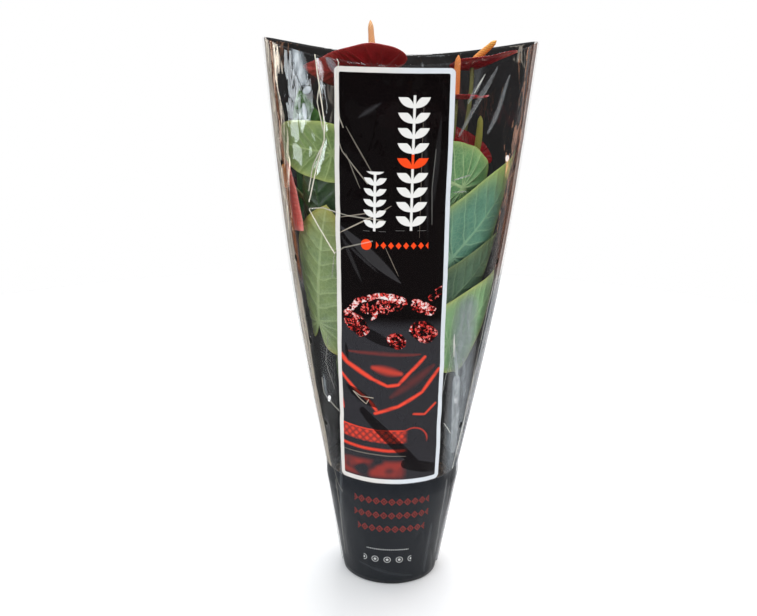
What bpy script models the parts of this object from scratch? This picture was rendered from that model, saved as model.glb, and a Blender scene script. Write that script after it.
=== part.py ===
"""Potted anthurium in a flared film sleeve, as separate closed solids.

Metres, +Z up. The origin is on the ground, on the pot's axis. The front of the
sleeve faces -Y. Azimuths run anticlockwise seen from above, from +X.

The sleeve is a cone round the pot that opens to an oval mouth. Leaves lie on
shells nested inside the film, each at its own depth, so every leaf keeps clear
of the film and of the other leaves whatever the sleeve's size is.
"""
import math

import bmesh
import bpy
from mathutils import Matrix, Vector

FIT_GAP = 0.0003            # between pieces that touch

# Nursery pot
POT_HEIGHT = 0.105
POT_RIM_RADIUS = 0.0585
POT_BASE_RADIUS = 0.042
POT_WALL = 0.0010
POT_RIM_DEPTH = 0.0095
POT_RIM_STEP = 0.0020       # how far the rim band stands out from the wall
POT_FOOT_WIDTH = 0.005
POT_FOOT_HEIGHT = 0.003
DRAIN_HOLES = 8
DRAIN_HOLE_RADIUS = 0.0035
DRAIN_RING_RADIUS = 0.025
POT_SEGMENTS = 40

# Growing medium and the plant's short stem
SOIL_BELOW_RIM = 0.0115
SOIL_CROWN = 0.002          # how much the middle is mounded up
STEM_RADIUS = 0.0150
STEM_BELOW_SOIL = 0.016
STEM_ABOVE_SOIL = 0.012
STEM_SEGMENTS = 24

# Sleeve
SLEEVE_CLEARANCE = 0.0006   # film to pot
SLEEVE_FILM = 0.0004
SLEEVE_FOOT = 0.0010        # bottom edge above the ground
SLEEVE_SIDE_HEIGHT = 0.480
SLEEVE_MIDDLE_HEIGHT = 0.464
SLEEVE_MOUTH_HALF_WIDTH = 0.112
SLEEVE_MOUTH_HALF_DEPTH = 0.103
SLEEVE_BELLY = 0.12         # how early the width opens and how late the depth does
SLEEVE_PINCH = 0.20         # how pointed the section is at the side seams
SEAM_WIDTH = 0.002
VENT_HEIGHTS = (0.152, 0.227, 0.300, 0.380)
VENT_RADIUS = 0.003
VENT_FROM_SEAM = 0.032
SHEET_COLUMNS = 24
ROWS_ABOVE_POT = 9

# Leaves and flowers
LEAF_THICKNESS = 0.0006
SPATHE_THICKNESS = 0.0008
PETIOLE_RADIUS = 0.0017
PEDUNCLE_RADIUS = 0.0020
SPADIX_RADIUS = 0.0028
PETIOLE_RING = 0.0118       # circle on the stem that the leaf stalks rise from
PEDUNCLE_RING = 0.0050      # circle on the stem that the flower stalks rise from
STALK_SIDES = 6
BLADE_RINGS = (0.34, 0.68, 1.0)
PLANTED_FOR = 0.480         # side height of the sleeve that the heights below are drawn for

# Outlines round the point where the stalk meets the blade: degrees from the tip,
# and distance as a share of the reach to the tip.
LEAF_OUTLINE = ((0, 1.00), (14, 0.80), (35, 0.58), (60, 0.46), (85, 0.41),
                (110, 0.41), (135, 0.43), (160, 0.33), (180, 0.05))
SPATHE_OUTLINE = ((0, 1.00), (15, 0.87), (35, 0.77), (62, 0.69), (90, 0.64),
                  (118, 0.61), (143, 0.56), (165, 0.34), (180, 0.12))

# Leaves: azimuth and height of the stalk's end, heading of the tip (degrees from
# upright, positive towards rising azimuth), reach to the tip, breadth factor, how
# far the lobes reach back, depth inside the film at the stalk and at the tip,
# azimuth of the stalk's root.
LEAVES = (
    (-150, 0.244, 12, 0.108, 1.15, 0.45, 0.0085, 0.0080, -178),
    (-123, 0.394, -88, 0.108, 0.54, 0.80, 0.0060, 0.0060, -109),
    (-134, 0.300, -6, 0.094, 0.85, 1.00, 0.0120, 0.0120, -155),
    (-104, 0.262, -20, 0.080, 0.62, 1.00, 0.0215, 0.0215, -87),
    (-114, 0.206, 10, 0.090, 0.90, 1.00, 0.0155, 0.0175, -132),
    (-56, 0.308, 42, 0.112, 0.80, 0.90, 0.0130, 0.0040, -21),
    (-52, 0.366, -66, 0.072, 1.14, 1.00, 0.0170, 0.0170, 1),
    (-54, 0.234, 55, 0.092, 0.90, 0.50, 0.0050, 0.0040, -43),
    (-68, 0.256, 48, 0.098, 0.70, 0.60, 0.0090, 0.0080, -65),
    (62, 0.286, 6, 0.112, 0.95, 1.00, 0.0050, 0.0040, 60),
    (104, 0.250, -8, 0.112, 0.95, 1.00, 0.0100, 0.0100, 100),
    (148, 0.330, 4, 0.108, 0.85, 0.90, 0.0140, 0.0120, 145),
)

# Flowers: azimuth, share of the way out to the film and height of the spathe's
# base; direction of the spathe's tip; direction its face looks; reach; breadth
# factor; direction and length of the spadix; azimuth of the stalk's root.
FLOWERS = (
    (-150, 0.22, 0.4530, (-1.0, -0.10, -0.08), (-0.06, 0.55, 0.83), 0.058, 1.00, (-0.10, 0.05, 1.0), 0.040, -120),
    (18, 0.58, 0.4580, (1.0, -0.10, 0.20), (-0.18, 0.27, 0.94), 0.040, 0.80, (0.64, -0.20, 0.60), 0.028, 66),
    (-40, 0.55, 0.4350, (0.80, -0.55, 0.06), (0.02, 0.05, 0.95), 0.030, 0.90, (0.02, 0.02, 1.0), 0.033, -60),
    (4, 0.63, 0.3850, (-0.60, -0.20, 0.76), (0.40, -0.85, 0.36), 0.033, 0.62, (0.06, -0.10, 1.0), 0.033, -8),
    (80, 0.55, 0.4080, (0.10, 0.90, 0.25), (0.05, -0.40, 0.90), 0.048, 0.95, (0.0, 0.20, 1.0), 0.034, 120),
)

# The flower pressed against the film: its spathe is placed as the leaves are, its
# face to the film. Then the length of its spadix and the azimuth of its root.
PRESSED_FLOWER = (-177, 0.356, 128, 0.050, 0.78, 0.0085, 0.0040, 0.020, 180)

COLOURS = {
    "pot": ((0.030, 0.031, 0.032), 0.42),
    "soil": ((0.060, 0.036, 0.022), 0.95),
    "stem": ((0.22, 0.20, 0.09), 0.60),
    "leaf": ((0.16, 0.33, 0.11), 0.40),
    "stalk": ((0.25, 0.38, 0.13), 0.45),
    "spathe": ((0.42, 0.015, 0.020), 0.22),
    "spadix": ((0.85, 0.42, 0.12), 0.55),
    "film": ((0.62, 0.63, 0.64), 0.10),
}


# ---------------------------------------------------------------- scene and meshes

def clear_scene():
    for item in list(bpy.data.objects):
        bpy.data.objects.remove(item, do_unlink=True)


def material(kind):
    found = bpy.data.materials.get(kind)
    if found:
        return found
    colour, roughness = COLOURS[kind]
    made = bpy.data.materials.new(kind)
    made.use_nodes = True
    shader = made.node_tree.nodes["Principled BSDF"]
    shader.inputs["Base Color"].default_value = (*colour, 1.0)
    shader.inputs["Roughness"].default_value = roughness
    shader.inputs["Metallic"].default_value = 0.0
    made.diffuse_color = (*colour, 1.0)
    return made


def add_object(name, points, faces, kind, parent=None):
    """An object made of points and faces, with its faces turned outward."""
    mesh = bpy.data.meshes.new(name)
    mesh.from_pydata([tuple(point) for point in points], [], faces)
    work = bmesh.new()
    work.from_mesh(mesh)
    bmesh.ops.recalc_face_normals(work, faces=work.faces)
    if work.calc_volume(signed=True) < 0:
        bmesh.ops.reverse_faces(work, faces=work.faces)
    work.to_mesh(mesh)
    work.free()
    mesh.shade_smooth()
    mesh.set_sharp_from_angle(angle=math.radians(35))
    mesh.materials.append(material(kind))
    piece = bpy.data.objects.new(name, mesh)
    bpy.context.scene.collection.objects.link(piece)
    piece.parent = parent
    return piece


def add_empty(name):
    empty = bpy.data.objects.new(name, None)
    bpy.context.scene.collection.objects.link(empty)
    return empty


def turned_shape(profile, segments):
    """Points and faces of a profile of (radius, height) turned about Z.

    The profile starts and ends on the axis.
    """
    points = [Vector((0, 0, profile[0][1]))]
    rings = []
    for radius, height in profile[1:-1]:
        rings.append(len(points))
        for index in range(segments):
            angle = 2 * math.pi * index / segments
            points.append(Vector((radius * math.cos(angle), radius * math.sin(angle), height)))
    last = len(points)
    points.append(Vector((0, 0, profile[-1][1])))
    faces = []
    for index in range(segments):
        after = (index + 1) % segments
        faces.append((0, rings[0] + after, rings[0] + index))
        for low, high in zip(rings, rings[1:]):
            faces.append((low + index, low + after, high + after, high + index))
        faces.append((last, rings[-1] + index, rings[-1] + after))
    return points, faces


def cut(piece, cutter):
    """Subtract one object from another, and keep the cutter as a hidden guide."""
    cutter.hide_render = True
    cutter.display_type = "WIRE"
    modifier = piece.modifiers.new("cut", "BOOLEAN")
    modifier.operation = "DIFFERENCE"
    modifier.solver = "EXACT"
    modifier.object = cutter


def rods(name, centres, directions, radius, length, sides, parent=None):
    """One guide object holding a straight rod at each centre."""
    points = []
    faces = []
    for centre, direction in zip(centres, directions):
        turn = direction.to_track_quat("Z", "Y").to_matrix()
        first = len(points)
        for end in (-0.5, 0.5):
            for index in range(sides):
                angle = 2 * math.pi * (index + 0.5) / sides
                offset = Vector((radius * math.cos(angle), radius * math.sin(angle), end * length))
                points.append(centre + turn @ offset)
        faces.append(tuple(first + index for index in reversed(range(sides))))
        faces.append(tuple(first + sides + index for index in range(sides)))
        for index in range(sides):
            after = (index + 1) % sides
            faces.append((first + index, first + after, first + sides + after, first + sides + index))
    return add_object(name, points, faces, "film", parent)


# ---------------------------------------------------------------- pot, soil and stem

def pot_outside(height):
    """Outer radius of the pot's wall, which leaves room for the rim band's step."""
    top = POT_RIM_RADIUS - POT_RIM_STEP
    return POT_BASE_RADIUS + (top - POT_BASE_RADIUS) * height / POT_HEIGHT


def rim_band_foot():
    return POT_HEIGHT - POT_RIM_DEPTH - POT_RIM_STEP / 2


def soil_top():
    return POT_HEIGHT - SOIL_BELOW_RIM


def build_pot(parent):
    band = POT_HEIGHT - POT_RIM_DEPTH
    floor = POT_FOOT_HEIGHT + POT_WALL
    profile = (
        (0, POT_FOOT_HEIGHT),
        (POT_BASE_RADIUS - POT_FOOT_WIDTH, POT_FOOT_HEIGHT),
        (POT_BASE_RADIUS - POT_FOOT_WIDTH, 0),
        (POT_BASE_RADIUS, 0),
        (pot_outside(rim_band_foot()), rim_band_foot()),
        (POT_RIM_RADIUS, band),
        (POT_RIM_RADIUS, POT_HEIGHT),
        (POT_RIM_RADIUS - POT_WALL, POT_HEIGHT),
        (POT_RIM_RADIUS - POT_WALL, band + POT_WALL),
        (pot_outside(band) - POT_WALL, band + POT_WALL - POT_RIM_STEP / 2),
        (pot_outside(floor) - POT_WALL, floor),
        (0, floor),
    )
    pot = add_object("nursery_pot", *turned_shape(profile, POT_SEGMENTS), "pot", parent)
    centres = []
    for index in range(DRAIN_HOLES):
        angle = 2 * math.pi * (index + 0.5) / DRAIN_HOLES
        centres.append(Vector((DRAIN_RING_RADIUS * math.cos(angle), DRAIN_RING_RADIUS * math.sin(angle), floor)))
    upward = [Vector((0, 0, 1))] * DRAIN_HOLES
    drain = rods("drain_hole_guide", centres, upward, DRAIN_HOLE_RADIUS, 4 * POT_FOOT_HEIGHT, 8, parent)
    cut(pot, drain)
    return pot


def stem_profile(clearance):
    """Profile of the short stem, swollen by a clearance for the hole it stands in."""
    foot = soil_top() - STEM_BELOW_SOIL
    head = soil_top() + STEM_ABOVE_SOIL
    wide = STEM_RADIUS + clearance
    return (
        (0, foot - clearance),
        (wide * 0.70, foot - clearance),
        (wide, foot + 0.35 * STEM_BELOW_SOIL),
        (wide, soil_top() + 0.35 * STEM_ABOVE_SOIL),
        (PETIOLE_RING + PETIOLE_RADIUS + clearance, head + clearance),
        (0, head + clearance),
    )


def build_soil_and_stem(parent):
    floor = POT_FOOT_HEIGHT + POT_WALL
    foot = pot_outside(floor) - POT_WALL - 2 * FIT_GAP
    rim = pot_outside(soil_top()) - POT_WALL - 2 * FIT_GAP
    profile = (
        (0, floor + FIT_GAP),
        (foot, floor + FIT_GAP),
        (rim, soil_top() - SOIL_CROWN),
        (rim * 0.82, soil_top()),
        (rim * 0.50, soil_top() + SOIL_CROWN * 0.5),
        (0, soil_top() + SOIL_CROWN),
    )
    soil = add_object("growing_medium", *turned_shape(profile, POT_SEGMENTS), "soil", parent)
    stem = add_object("plant_crown", *turned_shape(stem_profile(0), STEM_SEGMENTS), "stem", parent)
    socket = add_object("crown_socket_guide", *turned_shape(stem_profile(FIT_GAP), STEM_SEGMENTS), "stem", parent)
    cut(soil, socket)
    return soil, stem


# ---------------------------------------------------------------- sleeve

def sleeve_section(height):
    """Half width, half depth and pinch of the film's inner face at a height."""
    on_rim = POT_RIM_RADIUS + SLEEVE_CLEARANCE
    if height <= POT_HEIGHT:
        on_foot = POT_BASE_RADIUS + SLEEVE_CLEARANCE
        radius = on_foot + (on_rim - on_foot) * min(1.0, height / rim_band_foot())
        return radius, radius, 0.0
    share = (height - POT_HEIGHT) / (SLEEVE_SIDE_HEIGHT - POT_HEIGHT)
    belly = SLEEVE_BELLY * math.sin(math.pi * share)
    half_width = on_rim + (SLEEVE_MOUTH_HALF_WIDTH - on_rim) * (share + belly)
    half_depth = on_rim + (SLEEVE_MOUTH_HALF_DEPTH - on_rim) * (share - belly)
    return half_width, half_depth, SLEEVE_PINCH * min(1.0, 2.5 * share)


def shell_point(azimuth, height, depth):
    """A point on the shell that lies a given depth inside the film (azimuth in degrees)."""
    half_width, half_depth, pinch = sleeve_section(height)
    angle = math.radians(azimuth)
    across = math.sin(angle) * abs(math.sin(angle)) ** pinch
    return Vector(((half_width - depth) * math.cos(angle), (half_depth - depth) * across, height))


def shell_radius(azimuth, height, depth):
    """Length along the shell for one radian of azimuth."""
    half_width, half_depth, _ = sleeve_section(height)
    angle = math.radians(azimuth)
    return math.hypot((half_width - depth) * math.sin(angle), (half_depth - depth) * math.cos(angle))


def mouth_height(azimuth):
    rise = SLEEVE_SIDE_HEIGHT - SLEEVE_MIDDLE_HEIGHT
    return SLEEVE_MIDDLE_HEIGHT + rise * math.cos(math.radians(azimuth)) ** 2


def sheet_rows():
    """Heights of the rows on the pot, and shares of the way up for the rows above it."""
    on_pot = [SLEEVE_FOOT, rim_band_foot() / 2, rim_band_foot()]
    return on_pot, [row / ROWS_ABOVE_POT for row in range(ROWS_ABOVE_POT + 1)]


def build_sheet(name, side, parent):
    """One film sheet from seam to seam: side is -1 for the front and 1 for the back."""
    on_pot, above = sheet_rows()
    points = []
    line = SHEET_COLUMNS + 3
    for face in (0.0, SLEEVE_FILM):
        for row in range(len(on_pot) + len(above)):
            for column in range(line):
                share = min(max(column - 1, 0), SHEET_COLUMNS) / SHEET_COLUMNS
                azimuth = side * 180 * (1 - share)
                if row < len(on_pot):
                    height = on_pot[row]
                else:
                    height = POT_HEIGHT + above[row - len(on_pot)] * (mouth_height(azimuth) - POT_HEIGHT)
                point = shell_point(azimuth, height, -face)
                if share in (0.0, 1.0):
                    point.y = side * (FIT_GAP / 2 + face)
                if column in (0, line - 1):
                    point.x += math.copysign(SEAM_WIDTH, point.x)
                points.append(point)
    rows = len(on_pot) + len(above)
    size = rows * line
    faces = []
    for row in range(rows - 1):
        for column in range(line - 1):
            corner = row * line + column
            quad = (corner, corner + 1, corner + line + 1, corner + line)
            faces.append(quad)
            faces.append(tuple(size + index for index in reversed(quad)))
    for column in range(line - 1):
        top = (rows - 1) * line + column
        faces.append((column + 1, column, size + column, size + column + 1))
        faces.append((top, top + 1, size + top + 1, size + top))
    for row in range(rows - 1):
        left = row * line
        right = left + line - 1
        faces.append((left, left + line, size + left + line, size + left))
        faces.append((right + line, right, size + right, size + right + line))
    sheet = add_object(name, points, faces, "film", parent)
    centres = []
    directions = []
    for height in VENT_HEIGHTS:
        _, half_depth, _ = sleeve_section(height)
        step = math.degrees(VENT_FROM_SEAM / half_depth)
        for azimuth in (side * step, side * (180 - step)):
            centre = shell_point(azimuth, height, -SLEEVE_FILM / 2)
            along = shell_point(azimuth + 1, height, 0) - shell_point(azimuth - 1, height, 0)
            up = shell_point(azimuth, height + 0.001, 0) - shell_point(azimuth, height - 0.001, 0)
            centres.append(centre)
            directions.append(along.cross(up).normalized())
    vents = rods(name + "_vent_guide", centres, directions, VENT_RADIUS, 12 * SLEEVE_FILM, 8, parent)
    cut(sheet, vents)
    return sheet


# ---------------------------------------------------------------- leaves and flowers

def with_lobes(outline, lobes):
    """The outline with its lobes drawn in to a share of their reach."""
    drawn = []
    for angle, share in outline:
        back = max(0.0, (angle - 100) / 80)
        drawn.append((angle, share * (1 - (1 - lobes) * math.sqrt(back))))
    return drawn


def blade_shape(outline, place):
    """Points and faces of a heart-shaped blade; place(across, along, face) gives a point.

    Spokes run from the stalk's end to the outline, and face is 0 or 1. Both sides
    are split along the same diagonals, so that they never cross.
    """
    spokes = [(-angle, share) for angle, share in reversed(outline[1:-1])]
    spokes = spokes + list(outline)
    points = []
    for face in (0, 1):
        points.append(place(0.0, 0.0, face))
        for ring in BLADE_RINGS:
            for angle, share in spokes:
                turn = math.radians(angle)
                points.append(place(ring * share * math.sin(turn), ring * share * math.cos(turn), face))
    count = len(spokes)
    size = 1 + count * len(BLADE_RINGS)
    faces = []
    for index in range(count):
        after = (index + 1) % count
        first = (0, 1 + index, 1 + after)
        faces.append(first)
        faces.append(tuple(size + corner for corner in reversed(first)))
        for ring in range(len(BLADE_RINGS) - 1):
            inner = 1 + ring * count
            outer = inner + count
            near_half = (inner + index, outer + index, inner + after)
            far_half = (outer + index, outer + after, inner + after)
            for half in (near_half, far_half):
                faces.append(half)
                faces.append(tuple(size + corner for corner in reversed(half)))
        edge = size - count
        faces.append((edge + index, size + edge + index, size + edge + after, edge + after))
    return points, faces


def stalk_shape(start, lean, end, arrive, radius):
    """Points and faces of a round stalk on one smooth curve from start to end.

    lean and arrive are the curve's handles: it leaves along lean and ends along arrive.
    """
    segments = 9
    handle_a = start + lean
    handle_b = end - arrive
    points = []
    for step in range(segments + 1):
        share = step / segments
        rest = 1 - share
        centre = (rest ** 3 * start + 3 * rest ** 2 * share * handle_a
                  + 3 * rest * share ** 2 * handle_b + share ** 3 * end)
        along = (rest ** 2 * (handle_a - start) + 2 * rest * share * (handle_b - handle_a)
                 + share ** 2 * (end - handle_b)).normalized()
        if step == 0:
            along = Vector((0, 0, 1))
        side = along.cross(Vector((0, 0, 1)))
        side = side.normalized() if side.length > 1e-4 else Vector((lean.y, -lean.x, 0)).normalized()
        other = side.cross(along)
        thick = radius * (1.15 - 0.30 * share)
        for index in range(STALK_SIDES):
            angle = 2 * math.pi * index / STALK_SIDES
            points.append(centre + thick * (math.cos(angle) * side + math.sin(angle) * other))
    faces = [tuple(reversed(range(STALK_SIDES)))]
    for step in range(segments):
        for index in range(STALK_SIDES):
            after = (index + 1) % STALK_SIDES
            low = step * STALK_SIDES
            high = low + STALK_SIDES
            faces.append((low + index, low + after, high + after, high + index))
    faces.append(tuple(segments * STALK_SIDES + index for index in range(STALK_SIDES)))
    return points, faces


def in_sleeve(height):
    """A plant height drawn for a sleeve of PLANTED_FOR, moved with the sleeve's own height."""
    return height + (SLEEVE_SIDE_HEIGHT - PLANTED_FOR) * (height - POT_HEIGHT) / (PLANTED_FOR - POT_HEIGHT)


def stalk_root(ring, azimuth):
    angle = math.radians(azimuth)
    height = soil_top() + STEM_ABOVE_SOIL + FIT_GAP
    return Vector((ring * math.cos(angle), ring * math.sin(angle), height))


def on_shell(azimuth, height, heading, reach, breadth, depth, tip_depth, thickness):
    """A place function for a blade that lies along the film, inside it."""
    turn = math.radians(heading)
    around = shell_radius(azimuth, height, depth)

    def place(across, along, face):
        sideways = reach * (breadth * across * math.cos(turn) + along * math.sin(turn))
        upward = reach * (along * math.cos(turn) - breadth * across * math.sin(turn))
        inside = depth + (tip_depth - depth) * max(0.0, along) + face * thickness
        return shell_point(azimuth + math.degrees(sideways / around), height + upward, inside)

    return place


def outward_at(azimuth, height):
    """Level direction from the axis side to the film at an azimuth."""
    way = shell_point(azimuth, height, 0) - shell_point(azimuth, height, 0.01)
    return Vector((way.x, way.y, 0)).normalized()


def build_leaf(number, spec, parent):
    azimuth, height, heading, reach, breadth, lobes, depth, tip_depth, root_azimuth = spec
    height = in_sleeve(height)
    place = on_shell(azimuth, height, heading, reach, breadth, depth, tip_depth, LEAF_THICKNESS)
    outline = with_lobes(LEAF_OUTLINE, lobes)
    add_object(f"leaf_{number:02d}", *blade_shape(outline, place), "leaf", parent)
    end = shell_point(azimuth, height, depth + LEAF_THICKNESS + 2 * FIT_GAP + PETIOLE_RADIUS)
    root = stalk_root(PETIOLE_RING, root_azimuth)
    rise = end.z - root.z
    lean = Vector((0, 0, 0.42 * rise))
    arrive = Vector((0, 0, 0.34 * rise)) + 0.16 * rise * outward_at(azimuth, height)
    stalk = stalk_shape(root, lean, end, arrive, PETIOLE_RADIUS)
    add_object(f"petiole_{number:02d}", *stalk, "stalk", parent)


def spadix_profile(length):
    return (
        (0, 0),
        (SPADIX_RADIUS * 0.85, 0),
        (SPADIX_RADIUS, length * 0.25),
        (SPADIX_RADIUS * 0.88, length * 0.70),
        (SPADIX_RADIUS * 0.55, length * 0.95),
        (0, length),
    )


def add_spadix(number, seat, way, length, parent):
    spadix = add_object(f"spadix_{number}", *turned_shape(spadix_profile(length), 10), "spadix", parent)
    spadix.matrix_world = Matrix.Translation(seat) @ way.to_track_quat("Z", "Y").to_matrix().to_4x4()


def tilt_room(radius, way, face_way):
    """How far a rod's rim reaches past its middle when it stands askew on a face."""
    return radius * math.sqrt(max(0.0, 1 - way.dot(face_way) ** 2))


def build_flower(number, spec, parent):
    azimuth, share, height, tip, look, reach, breadth, rise_way, length, root_azimuth = spec
    height = in_sleeve(height)
    film = shell_point(azimuth, height, 0)
    base = Vector((film.x * share, film.y * share, height))
    face_way = Vector(look).normalized()
    tip_way = Vector(tip)
    tip_way = (tip_way - tip_way.dot(face_way) * face_way).normalized()
    side_way = tip_way.cross(face_way)

    def place(across, along, face):
        cup = 0.10 * reach * (across * across + along * along)
        return base + (reach * breadth * across * side_way + reach * along * tip_way
                       + (cup + face * SPATHE_THICKNESS) * face_way)

    add_object(f"spathe_{number}", *blade_shape(SPATHE_OUTLINE, place), "spathe", parent)
    way = Vector(rise_way).normalized()
    seat = base + face_way * (SPATHE_THICKNESS + FIT_GAP + tilt_room(SPADIX_RADIUS, way, face_way))
    add_spadix(number, seat, way, length, parent)
    root = stalk_root(PEDUNCLE_RING, root_azimuth)
    arrive_way = (0.35 * face_way + Vector((0, 0, 1))).normalized()
    end = base - face_way * (FIT_GAP + tilt_room(PEDUNCLE_RADIUS, arrive_way, face_way))
    rise = end.z - root.z
    stalk = stalk_shape(root, Vector((0, 0, 0.45 * rise)), end, arrive_way * (0.25 * rise), PEDUNCLE_RADIUS)
    add_object(f"peduncle_{number}", *stalk, "stalk", parent)


def build_pressed_flower(number, spec, parent):
    azimuth, height, heading, reach, breadth, depth, tip_depth, length, root_azimuth = spec
    height = in_sleeve(height)
    place = on_shell(azimuth, height, heading, reach, breadth, depth, tip_depth, -SPATHE_THICKNESS)
    add_object(f"spathe_{number}", *blade_shape(SPATHE_OUTLINE, place), "spathe", parent)
    middle = depth - SPATHE_THICKNESS - FIT_GAP - SPADIX_RADIUS
    seat = shell_point(azimuth, height, middle)
    way = (shell_point(azimuth, height + length, middle) - seat).normalized()
    add_spadix(number, seat, way, length, parent)
    root = stalk_root(PEDUNCLE_RING, root_azimuth)
    outward = outward_at(azimuth, height)
    arrive_way = (outward + Vector((0, 0, 1))).normalized()
    end = shell_point(azimuth, height, depth + 2 * FIT_GAP + PEDUNCLE_RADIUS)
    rise = end.z - root.z
    stalk = stalk_shape(root, Vector((0, 0, 0.45 * rise)), end, arrive_way * (0.25 * rise), PEDUNCLE_RADIUS)
    add_object(f"peduncle_{number}", *stalk, "stalk", parent)


def build():
    clear_scene()
    holder = add_empty("pot_group")
    plant = add_empty("plant_group")
    wrap = add_empty("sleeve_group")
    build_pot(holder)
    build_soil_and_stem(holder)
    for number, spec in enumerate(LEAVES, start=1):
        build_leaf(number, spec, plant)
    for number, spec in enumerate(FLOWERS, start=1):
        build_flower(number, spec, plant)
    build_pressed_flower(len(FLOWERS) + 1, PRESSED_FLOWER, plant)
    build_sheet("sleeve_front_sheet", -1, wrap)
    build_sheet("sleeve_back_sheet", 1, wrap)
    bpy.context.view_layer.update()


build()
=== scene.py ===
"""Looks of a potted anthurium standing in its printed film sleeve.

Metres, +Z up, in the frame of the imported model: the origin is on the ground, on
the pot's axis, and the front of the sleeve faces -Y. Azimuths are in degrees,
anticlockwise seen from above, from +X. A depth is measured inward from the film.
"""
import logging
import math
from collections.abc import Callable, Sequence
from dataclasses import dataclass, field, replace
from enum import Enum

import bmesh
import bpy
import numpy as np
from mathutils import Matrix, Vector, noise


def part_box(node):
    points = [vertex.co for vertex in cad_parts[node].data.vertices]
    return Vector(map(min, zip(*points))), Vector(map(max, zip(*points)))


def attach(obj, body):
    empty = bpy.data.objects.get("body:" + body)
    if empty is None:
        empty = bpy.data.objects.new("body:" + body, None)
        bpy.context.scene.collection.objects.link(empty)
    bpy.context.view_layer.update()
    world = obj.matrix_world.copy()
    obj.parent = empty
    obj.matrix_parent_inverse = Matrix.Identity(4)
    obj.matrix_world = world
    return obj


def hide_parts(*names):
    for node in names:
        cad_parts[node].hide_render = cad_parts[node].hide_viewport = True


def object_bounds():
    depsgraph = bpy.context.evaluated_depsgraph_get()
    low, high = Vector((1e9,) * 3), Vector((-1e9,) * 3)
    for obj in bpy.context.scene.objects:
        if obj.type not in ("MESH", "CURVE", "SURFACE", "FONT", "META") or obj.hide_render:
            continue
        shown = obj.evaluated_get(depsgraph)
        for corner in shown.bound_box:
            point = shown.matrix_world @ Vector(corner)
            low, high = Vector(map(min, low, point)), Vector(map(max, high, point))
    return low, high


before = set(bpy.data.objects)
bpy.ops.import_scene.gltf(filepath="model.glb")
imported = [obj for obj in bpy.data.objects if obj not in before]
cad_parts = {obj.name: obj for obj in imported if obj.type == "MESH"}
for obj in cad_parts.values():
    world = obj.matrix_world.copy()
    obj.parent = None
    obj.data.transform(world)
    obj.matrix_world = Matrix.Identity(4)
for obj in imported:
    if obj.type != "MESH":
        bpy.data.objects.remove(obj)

LOG = logging.getLogger("anthurium")
CAD_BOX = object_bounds()
BODY = "root"
MM = 0.001

Array = np.ndarray
Faces = list[tuple[int, ...]]
Colour = tuple[float, float, float, float]
Place = Callable[[Array, Array, Array], Array]


def shade(red: float, green: float, blue: float) -> Colour:
    """A linear colour with full opacity."""
    return (red, green, blue, 1.0)


# ------------------------------------------------------------------ numbers and meshes


def smooth_curve(knots: Sequence[tuple[float, float]], places: Array) -> Array:
    """Reads a smooth curve through some knots.

    Args:
        knots: (place, value) pairs in rising order of place.
        places: where to read the curve.

    Returns:
        The curve's value at each place.
    """
    xs, ys = np.array(knots, float).T
    slopes = np.gradient(ys, xs)
    at = np.clip(np.searchsorted(xs, places, side="right") - 1, 0, len(xs) - 2)
    span = xs[at + 1] - xs[at]
    t = np.clip((places - xs[at]) / span, 0, 1)
    value = (2 * t**3 - 3 * t**2 + 1) * ys[at] + (3 * t**2 - 2 * t**3) * ys[at + 1]
    bend = (t**3 - 2 * t**2 + t) * slopes[at] + (t**3 - t**2) * slopes[at + 1]
    return value + span * bend


def fade(value: Array, low: float, high: float) -> Array:
    """Rises smoothly from 0 at low to 1 at high."""
    share = np.clip((value - low) / (high - low), 0, 1)
    return share * share * (3 - 2 * share)


def noise_at(places: Array, scale: Sequence[float], seed: float) -> Array:
    """Reads gradient noise.

    Args:
        places: an array of points, three numbers each.
        scale: waves per metre along X, Y and Z.
        seed: which noise, any number.

    Returns:
        One value from -1 to 1 for each point.
    """
    shift = np.array((seed * 7.31, -seed * 3.17, seed * 5.71))
    spots = places.reshape(-1, 3) * np.array(scale) + shift
    read = [noise.noise(Vector(spot)) for spot in spots]
    return np.array(read).reshape(places.shape[:-1])


def grid_faces(rows: int, columns: int, closed: bool = False, first: int = 0) -> Faces:
    """Quads of a grid of points stored row by row.

    Args:
        rows: number of rows of points.
        columns: number of points in a row.
        closed: whether each row joins its own start.
        first: index of the first point.

    Returns:
        One tuple of four indices for each quad.
    """
    faces = []
    for row in range(rows - 1):
        for column in range(columns if closed else columns - 1):
            after = (column + 1) % columns
            low = first + row * columns
            high = low + columns
            faces.append((low + column, low + after, high + after, high + column))
    return faces


def turned(profile: Array, segments: int) -> tuple[Array, Faces]:
    """A closed shape of (radius, height) pairs turned about Z.

    Args:
        profile: pairs that start and end on the axis.
        segments: number of points round the axis.

    Returns:
        The points and the faces.
    """
    angles = np.linspace(0, 2 * math.pi, segments, endpoint=False)
    rings = profile[1:-1]
    round_points = np.stack(
        [
            rings[:, None, 0] * np.cos(angles),
            rings[:, None, 0] * np.sin(angles),
            np.repeat(rings[:, 1:2], segments, axis=1),
        ],
        axis=-1,
    ).reshape(-1, 3)
    ends = np.array([(0, 0, profile[0][1]), (0, 0, profile[-1][1])])
    points = np.concatenate([round_points, ends])
    faces = grid_faces(len(rings), segments, closed=True)
    bottom, top = len(round_points), len(round_points) + 1
    last = (len(rings) - 1) * segments
    for index in range(segments):
        after = (index + 1) % segments
        faces.append((bottom, after, index))
        faces.append((top, last + index, last + after))
    return points, faces


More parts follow.
